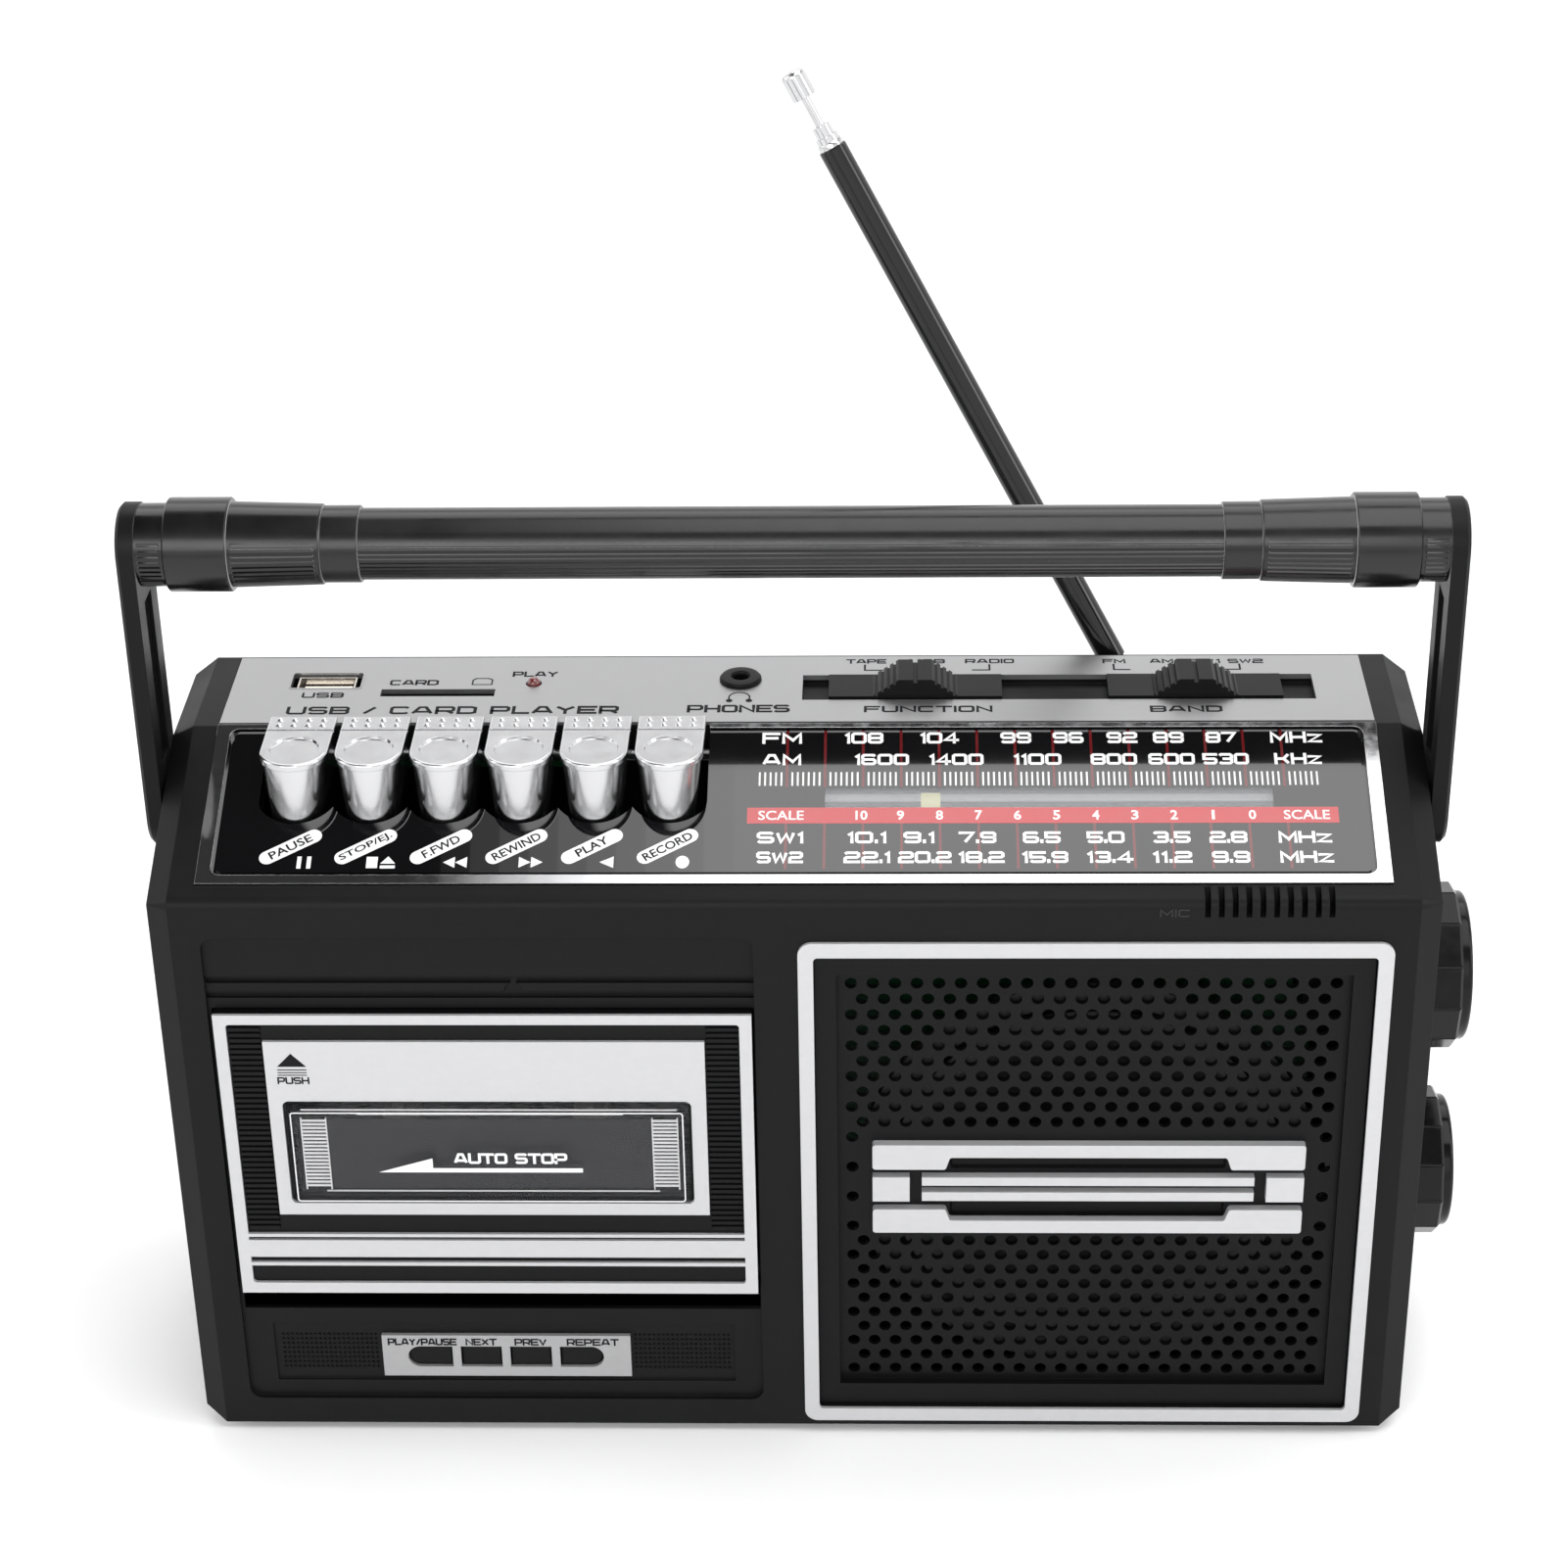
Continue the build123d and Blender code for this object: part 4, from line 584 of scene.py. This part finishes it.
nut = Piece("jack_collar")
jack_y = middle("headphone_jack", 1)
on_jack = plane((jack_x * MM, jack_y * MM, TOP), (1, 0, 0), (0, 1, 0))
nut.collar(on_jack, ((4.5, 0.48), (4.3, 1.0), (3.6, 1.15), (2.3, 1.1), (2.0, 0.8), (1.95, 0.48)), steps=48)
nut.done("cabinet", "black_plastic", "black_plastic", smooth=40)

mic = Piece("microphone_print")
mic.wide(ON_FRONT, "MIC", (81.0, 139.3), (6.4, 1.9), pen=0.36)
mic.done("cabinet", "aerial_black", "black_shell")

# ---------------------------------------------------------------- cassette door
PLATE_X, FRAME_IN = (-114.9, -19.1), (-122.5, -11.5)
RIB_Z, RIB_PITCH, RIB_W = (57.6, 111.6), 1.42, 0.86
ribs = Piece("door_side_ribs")
for left, right in ((FRAME_IN[0] + 0.3, PLATE_X[0] - 0.3), (PLATE_X[1] + 0.3, FRAME_IN[1] - 0.3)):
    z = RIB_Z[0]
    while z + 0.9 < RIB_Z[1]:
        ribs.prism(ON_DOOR, rect(left, right, z, z + RIB_W), 0, 0.55)
        z += RIB_PITCH
ribs.done("door", "black_plastic", "black_plastic", bevel=0.16)

LENS_X, LENS_Z = limits("door_window", 0), limits("door_window", 2)
FILM_X, FILM_Z = (-102.5, -31.3), (68.6, 87.0)
FILM_DEPTH = 2.6                            # behind the lens; the pieces round the film are placed from it
film = Piece("window_film")
film.prism(ON_LENS, rect(*FILM_X, *FILM_Z), -FILM_DEPTH - 0.25, -FILM_DEPTH)
film.done("door", "window_film", "smoked_window")

surround = Piece("window_surround")
ROOM_X, ROOM_LOW = grow(LENS_X, -1.7), LENS_Z[0] + 1.7
film_x, film_low = grow(FILM_X, 0.02), FILM_Z[0] - 0.02
for outline in (rect(ROOM_X[0], film_x[0], *FILM_Z), rect(film_x[1], ROOM_X[1], *FILM_Z),
                rect(*ROOM_X, ROOM_LOW, film_low)):
    surround.prism(ON_LENS, outline, -FILM_DEPTH - 0.45, -FILM_DEPTH - 0.2)
surround.done("door", "black_plastic", "black_plastic")

# The ribs at both ends of the film are real; their opaque white is a painted highlight for the light they catch.
end_ribs = Piece("window_end_ribs_painted_glint")
END_FIRST, END_PITCH, END_RIBS = 69.0, 0.96, 19
for low, high in ((-108.3, -102.8), (-31.1, -25.6)):
    for i in range(END_RIBS):
        z = END_FIRST + END_PITCH * i
        end_ribs.prism(ON_LENS, rect(low, high, z, z + 0.5), -FILM_DEPTH - 0.15, -FILM_DEPTH + 0.1)
    for x in (low, high):
        end_ribs.prism(ON_LENS, rect(x - 0.15, x + 0.15, 68.4, 87.4), -FILM_DEPTH - 0.1, -FILM_DEPTH + 0.4)
end_ribs.done("door", "clear_rib_painted_glint", "smoked_window")

# three bars behind the lens, coloured white as a painted highlight, and a white ring that paints the highlight on
# the edge of its bevel
bars = Piece("window_bars_and_bevel_painted_glint")
for line in ((-108.2, -25.6, 89.2, 89.6), (-96.0, -37.4, 88.1, 88.4), (-104.0, -30.0, 67.6, 67.9)):
    bars.prism(ON_LENS, rect(*line), -FILM_DEPTH - 0.15, -FILM_DEPTH + 0.1)
# painted highlight: a thin white ring along the lens bevel
glint_x, glint_z, GLINT_W = grow(LENS_X, -1.0), grow(LENS_Z, -1.0), 0.3
glint_in = rounded(*grow(glint_x, -GLINT_W), *grow(glint_z, -GLINT_W), 0.5)
bars.ring(ON_LENS, rounded(*glint_x, *glint_z, 0.8), glint_in, -0.1, 0)
bars.done("door", "clear_rib_painted_glint", "smoked_window", bevel=0.05)

lens_print = Piece("window_print")
lens_print.wide(ON_LENS, "AUTO STOP", (-62.4, 78.3), (25.0, 2.8), pen=0.62)
half_arrow = [(-91.6, 74.6), (-46.6, 74.6), (-46.6, 75.7), (-79.6, 75.7), (-79.6, 78.3)]
lens_print.prism(ON_LENS, half_arrow, 0, INK)
lens_print.done("door", "white_ink")

eject = Piece("eject_print")
eject.prism(ON_PLATE, [(-112.2, 101.2), (-105.8, 101.2), (-109.0, 104.6)], 0, INK)
for z in (100.4, 99.7, 99.0):
    eject.prism(ON_PLATE, rect(-112.2, -105.8, z - 0.12, z + 0.12), 0, INK)
eject.wide(ON_PLATE, "PUSH", (-108.9, 97.6), (7.0, 1.8), pen=0.38)
eject.done("door", "black_ink")

# ---------------------------------------------------------------- player keypad
pad = Piece("keypad_print")
for text, x, width in (("PLAY/PAUSE", -85.9, 15.8), ("NEXT", -72.4, 7.2), ("PREV", -61.1, 7.4),
                       ("REPEAT", -46.9, 11.9)):
    pad.wide(ON_PAD, text, (x, 24.7), (width, 1.95), pen=0.42)
pad.done("cabinet", "black_ink")

# fields of small raised dots on the strip, at both sides of the keypad
DOT_PITCH_X, DOT_PITCH_Z, DOT = 1.06, 1.32, 0.30
DOT_LOW, DOT_ROWS = 16.8, 8
dots = Piece("keypad_dots")
ON_STRIP = lifted(ON_PAD, -1.0)
for left, right in ((-117.8, -96.2), (-37.2, -15.9)):
    for i in range(int((right - left) / DOT_PITCH_X) + 1):
        for j in range(DOT_ROWS):
            x, z = left + DOT_PITCH_X * i, DOT_LOW + DOT_PITCH_Z * j
            dots.taper(ON_STRIP, rect(x - DOT, x + DOT, z - DOT, z + DOT), 0, 0.35, 0.6)
dots.done("cabinet", "black_shell", "black_shell")

# ---------------------------------------------------------------- handle grip
GRIP_LOW, GRIP_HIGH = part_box("handle_grip")
GRIP_END = GRIP_HIGH.x / MM
ON_GRIP = plane((0, (GRIP_LOW.y + GRIP_HIGH.y) / 2, (GRIP_LOW.z + GRIP_HIGH.z) / 2), (0, -1, 0), (0, 0, 1))
GROOVE_PITCH, GROOVE_DEPTH = 8.0, 0.5        # degrees round the bar, millimetres
GROOVE_FROM, GROOVE_COUNT = 30.0, 30         # the grooves run from the front, underneath, to the back
GROOVE_SHAPE = ((0, 0), (0.52, 0), (0.62, 1), (0.88, 1))    # shares of the pitch, and whether it is cut
PLAIN_STEPS = 16                             # facets on the plain top


def bar_angles():
    """Angles round the bar, and whether each lies in a groove: plain on top, grooved elsewhere."""
    made = []
    for i in range(GROOVE_COUNT):
        start = GROOVE_FROM - GROOVE_PITCH * i
        made += [(start - GROOVE_PITCH * share, cut) for share, cut in GROOVE_SHAPE]
    last = GROOVE_FROM - GROOVE_PITCH * GROOVE_COUNT
    plain = 360 - GROOVE_PITCH * GROOVE_COUNT
    made += [(last - plain * i / PLAIN_STEPS, 0) for i in range(PLAIN_STEPS)]
    return made


def bar_ring(x, radius, grooved):
    """The points round the bar at one place along it."""
    made = []
    for degrees, cut in bar_angles():
        reach = radius - GROOVE_DEPTH * cut * grooved
        made.append(ON_GRIP @ Vector((reach * cos(radians(degrees)), reach * sin(radians(degrees)), x)))
    return made


# one half of the bar: the distance from its middle, the radius, and whether the grooves are cut there
half = [
    (0.0, 7.65, 1), (90.8, 7.65, 1), (91.0, 7.65, 0), (91.0, 8.05, 0), (91.2, 8.25, 0), (98.8, 8.25, 0),
    (99.0, 8.1, 0), (99.0, 8.4, 0), (99.3, 8.65, 0), (100.2, 8.67, 0), (100.4, 8.67, 1), (117.6, 9.15, 1),
    (117.8, 9.15, 0), (118.5, 9.15, 0), (118.5, 9.8, 0), (118.8, 10.1, 0), (131.7, 10.1, 0), (132.0, 9.8, 0),
    (132.0, 8.9, 0), (132.8, 8.9, 0), (133.0, 8.9, 1), (GRIP_END - 0.8, 8.9, 1), (GRIP_END - 0.6, 8.9, 0),
    (GRIP_END, 8.9, 0),
]
grip = Piece("handle_grip_bar")
profile = [(-x, r, g) for x, r, g in reversed(half[1:])] + half[1:]
grip.loops([bar_ring(x, r, g) for x, r, g in profile])
bar = grip.done("handle", "handle_plastic", "handle_plastic", smooth=28, replaces=("handle_grip",))
bar.visible_glossy = False                  # the photo shows no handle in the polished dial

# ---------------------------------------------------------------- aerial
joints = {joint["name"]: joint for joint in frame["joints"]}
along = Vector(joints["aerial_extend_1"]["axis"]).normalized()
aside = along.orthogonal().normalized()
on_aerial = plane(joints["aerial_tilt"]["pos_m"], aside, along.cross(aside))
TUBE_END = 138.8
FERRULE = ((2.66, -0.05), (2.9, -0.05), (2.9, 0.9), (2.7, 1.25), (2.66, 1.25))
ferrule = Piece("aerial_ferrule")
ferrule.collar(on_aerial, [(r, TUBE_END + z) for r, z in FERRULE], steps=40)
ferrule.done("aerial", "chrome", "chrome", smooth=35)

# ---------------------------------------------------------------- back
cover_x = -middle("battery_cover", 0)
arrows = Piece("battery_cover_arrow")
arrows.prism(ON_BACK, [(cover_x - 2.6, 14.0), (cover_x, 11.0), (cover_x + 2.6, 14.0)], 0, 0.25)
arrows.done("hatch", "black_shell", "black_shell", bevel=0.08)

# ---------------------------------------------------------------- floor, light and camera
bpy.ops.mesh.primitive_plane_add(size=12)
floor = bpy.context.object
floor.name = "studio_floor"
floor.data.materials.append(MATERIALS["floor"])


def softbox(name, place, aim, size, radiance):
    """A rectangular area light; its power follows from how bright its face looks."""
    light = bpy.data.lights.new(name, "AREA")
    light.shape = "RECTANGLE"
    light.size, light.size_y = size
    light.energy = radiance * pi * size[0] * size[1]
    lamp = bpy.data.objects.new(name, light)
    lamp.location = place
    lamp.rotation_mode = "QUATERNION"
    lamp.rotation_quaternion = (Vector(aim) - Vector(place)).to_track_quat("-Z", "Y")
    bpy.context.scene.collection.objects.link(lamp)
    return lamp


# The sloping panel mirrors the far edge of the overhead box, and the strips fade it out to the left.
OVERHEAD_Z, BOX_X, BOX_Y = TOP + 1.0, (-0.06, 0.84), (-0.60, 0.277)
GLOW, FADE, FADE_STEP = 3.1, 10, 0.015


def overhead(name, x, radiance):
    """A level box over the part that faces straight down."""
    centre = (sum(x) / 2, sum(BOX_Y) / 2, OVERHEAD_Z)
    lamp = softbox(name, centre, (*centre[:2], 0), (x[1] - x[0], BOX_Y[1] - BOX_Y[0]), radiance)
    lamp.rotation_quaternion = (1, 0, 0, 0)


overhead("overhead_box", BOX_X, GLOW)
for i in range(FADE):
    edge = BOX_X[0] - FADE_STEP * i
    overhead(f"overhead_fade_{i}", (edge - FADE_STEP, edge), GLOW * (1 - (i + 0.5) / FADE))
softbox("front_box", (-0.5, -1.9, 1.1), (0, 0, 0.1), (2.0, 0.9), 2.8)
softbox("right_box", (1.7, -0.3, 0.9), (0, 0, 0.1), (0.5, 1.4), 3.6)
softbox("background_box", (0, 3.2, 4.0), (0, 2.6, 0), (4.5, 3.0), 2.2)
softbox("left_box", (-1.7, 0.1, 0.9), (0, 0, 0.1), (0.5, 1.4), 2.2)

# The sky is bright near the horizon and dim overhead.
world = bpy.data.worlds.new("studio")
bpy.context.scene.world = world
world.use_nodes = True
tree = world.node_tree
sky = tree.nodes["Background"]
sky.inputs["Color"].default_value = (1, 1, 1, 1)
look = tree.nodes.new("ShaderNodeTexCoord")
parts = tree.nodes.new("ShaderNodeSeparateXYZ")
fall = tree.nodes.new("ShaderNodeMapRange")
for socket, value in (("From Min", 0.30), ("From Max", 0.92), ("To Min", 1.3), ("To Max", 0.05)):
    fall.inputs[socket].default_value = value
tree.links.new(look.outputs["Generated"], parts.inputs["Vector"])
tree.links.new(parts.outputs["Z"], fall.inputs["Value"])
tree.links.new(fall.outputs["Result"], sky.inputs["Strength"])

# The camera is fitted to the straight edges of the cabinet.
CAMERA_PLACE = (0.021553, -0.672649, 0.523745)
PITCH, YAW, ROLL = radians(29.1152), radians(-2.0257), radians(1.0959)
ahead = Vector((sin(YAW) * cos(PITCH), cos(YAW) * cos(PITCH), -sin(PITCH)))
level = Vector((cos(YAW), -sin(YAW), 0))
below = ahead.cross(level)
across = cos(ROLL) * level + sin(ROLL) * below
down = cos(ROLL) * below - sin(ROLL) * level
lens = bpy.data.cameras.new("photo_view")
lens.lens = 80.534
lens.sensor_width = 36.0
camera = bpy.data.objects.new("photo_view", lens)
camera.matrix_world = Matrix.Translation(CAMERA_PLACE) @ Matrix((across, -down, -ahead)).transposed().to_4x4()
bpy.context.scene.collection.objects.link(camera)
bpy.context.scene.camera = camera
bpy.context.scene.view_settings.view_transform = "Standard"
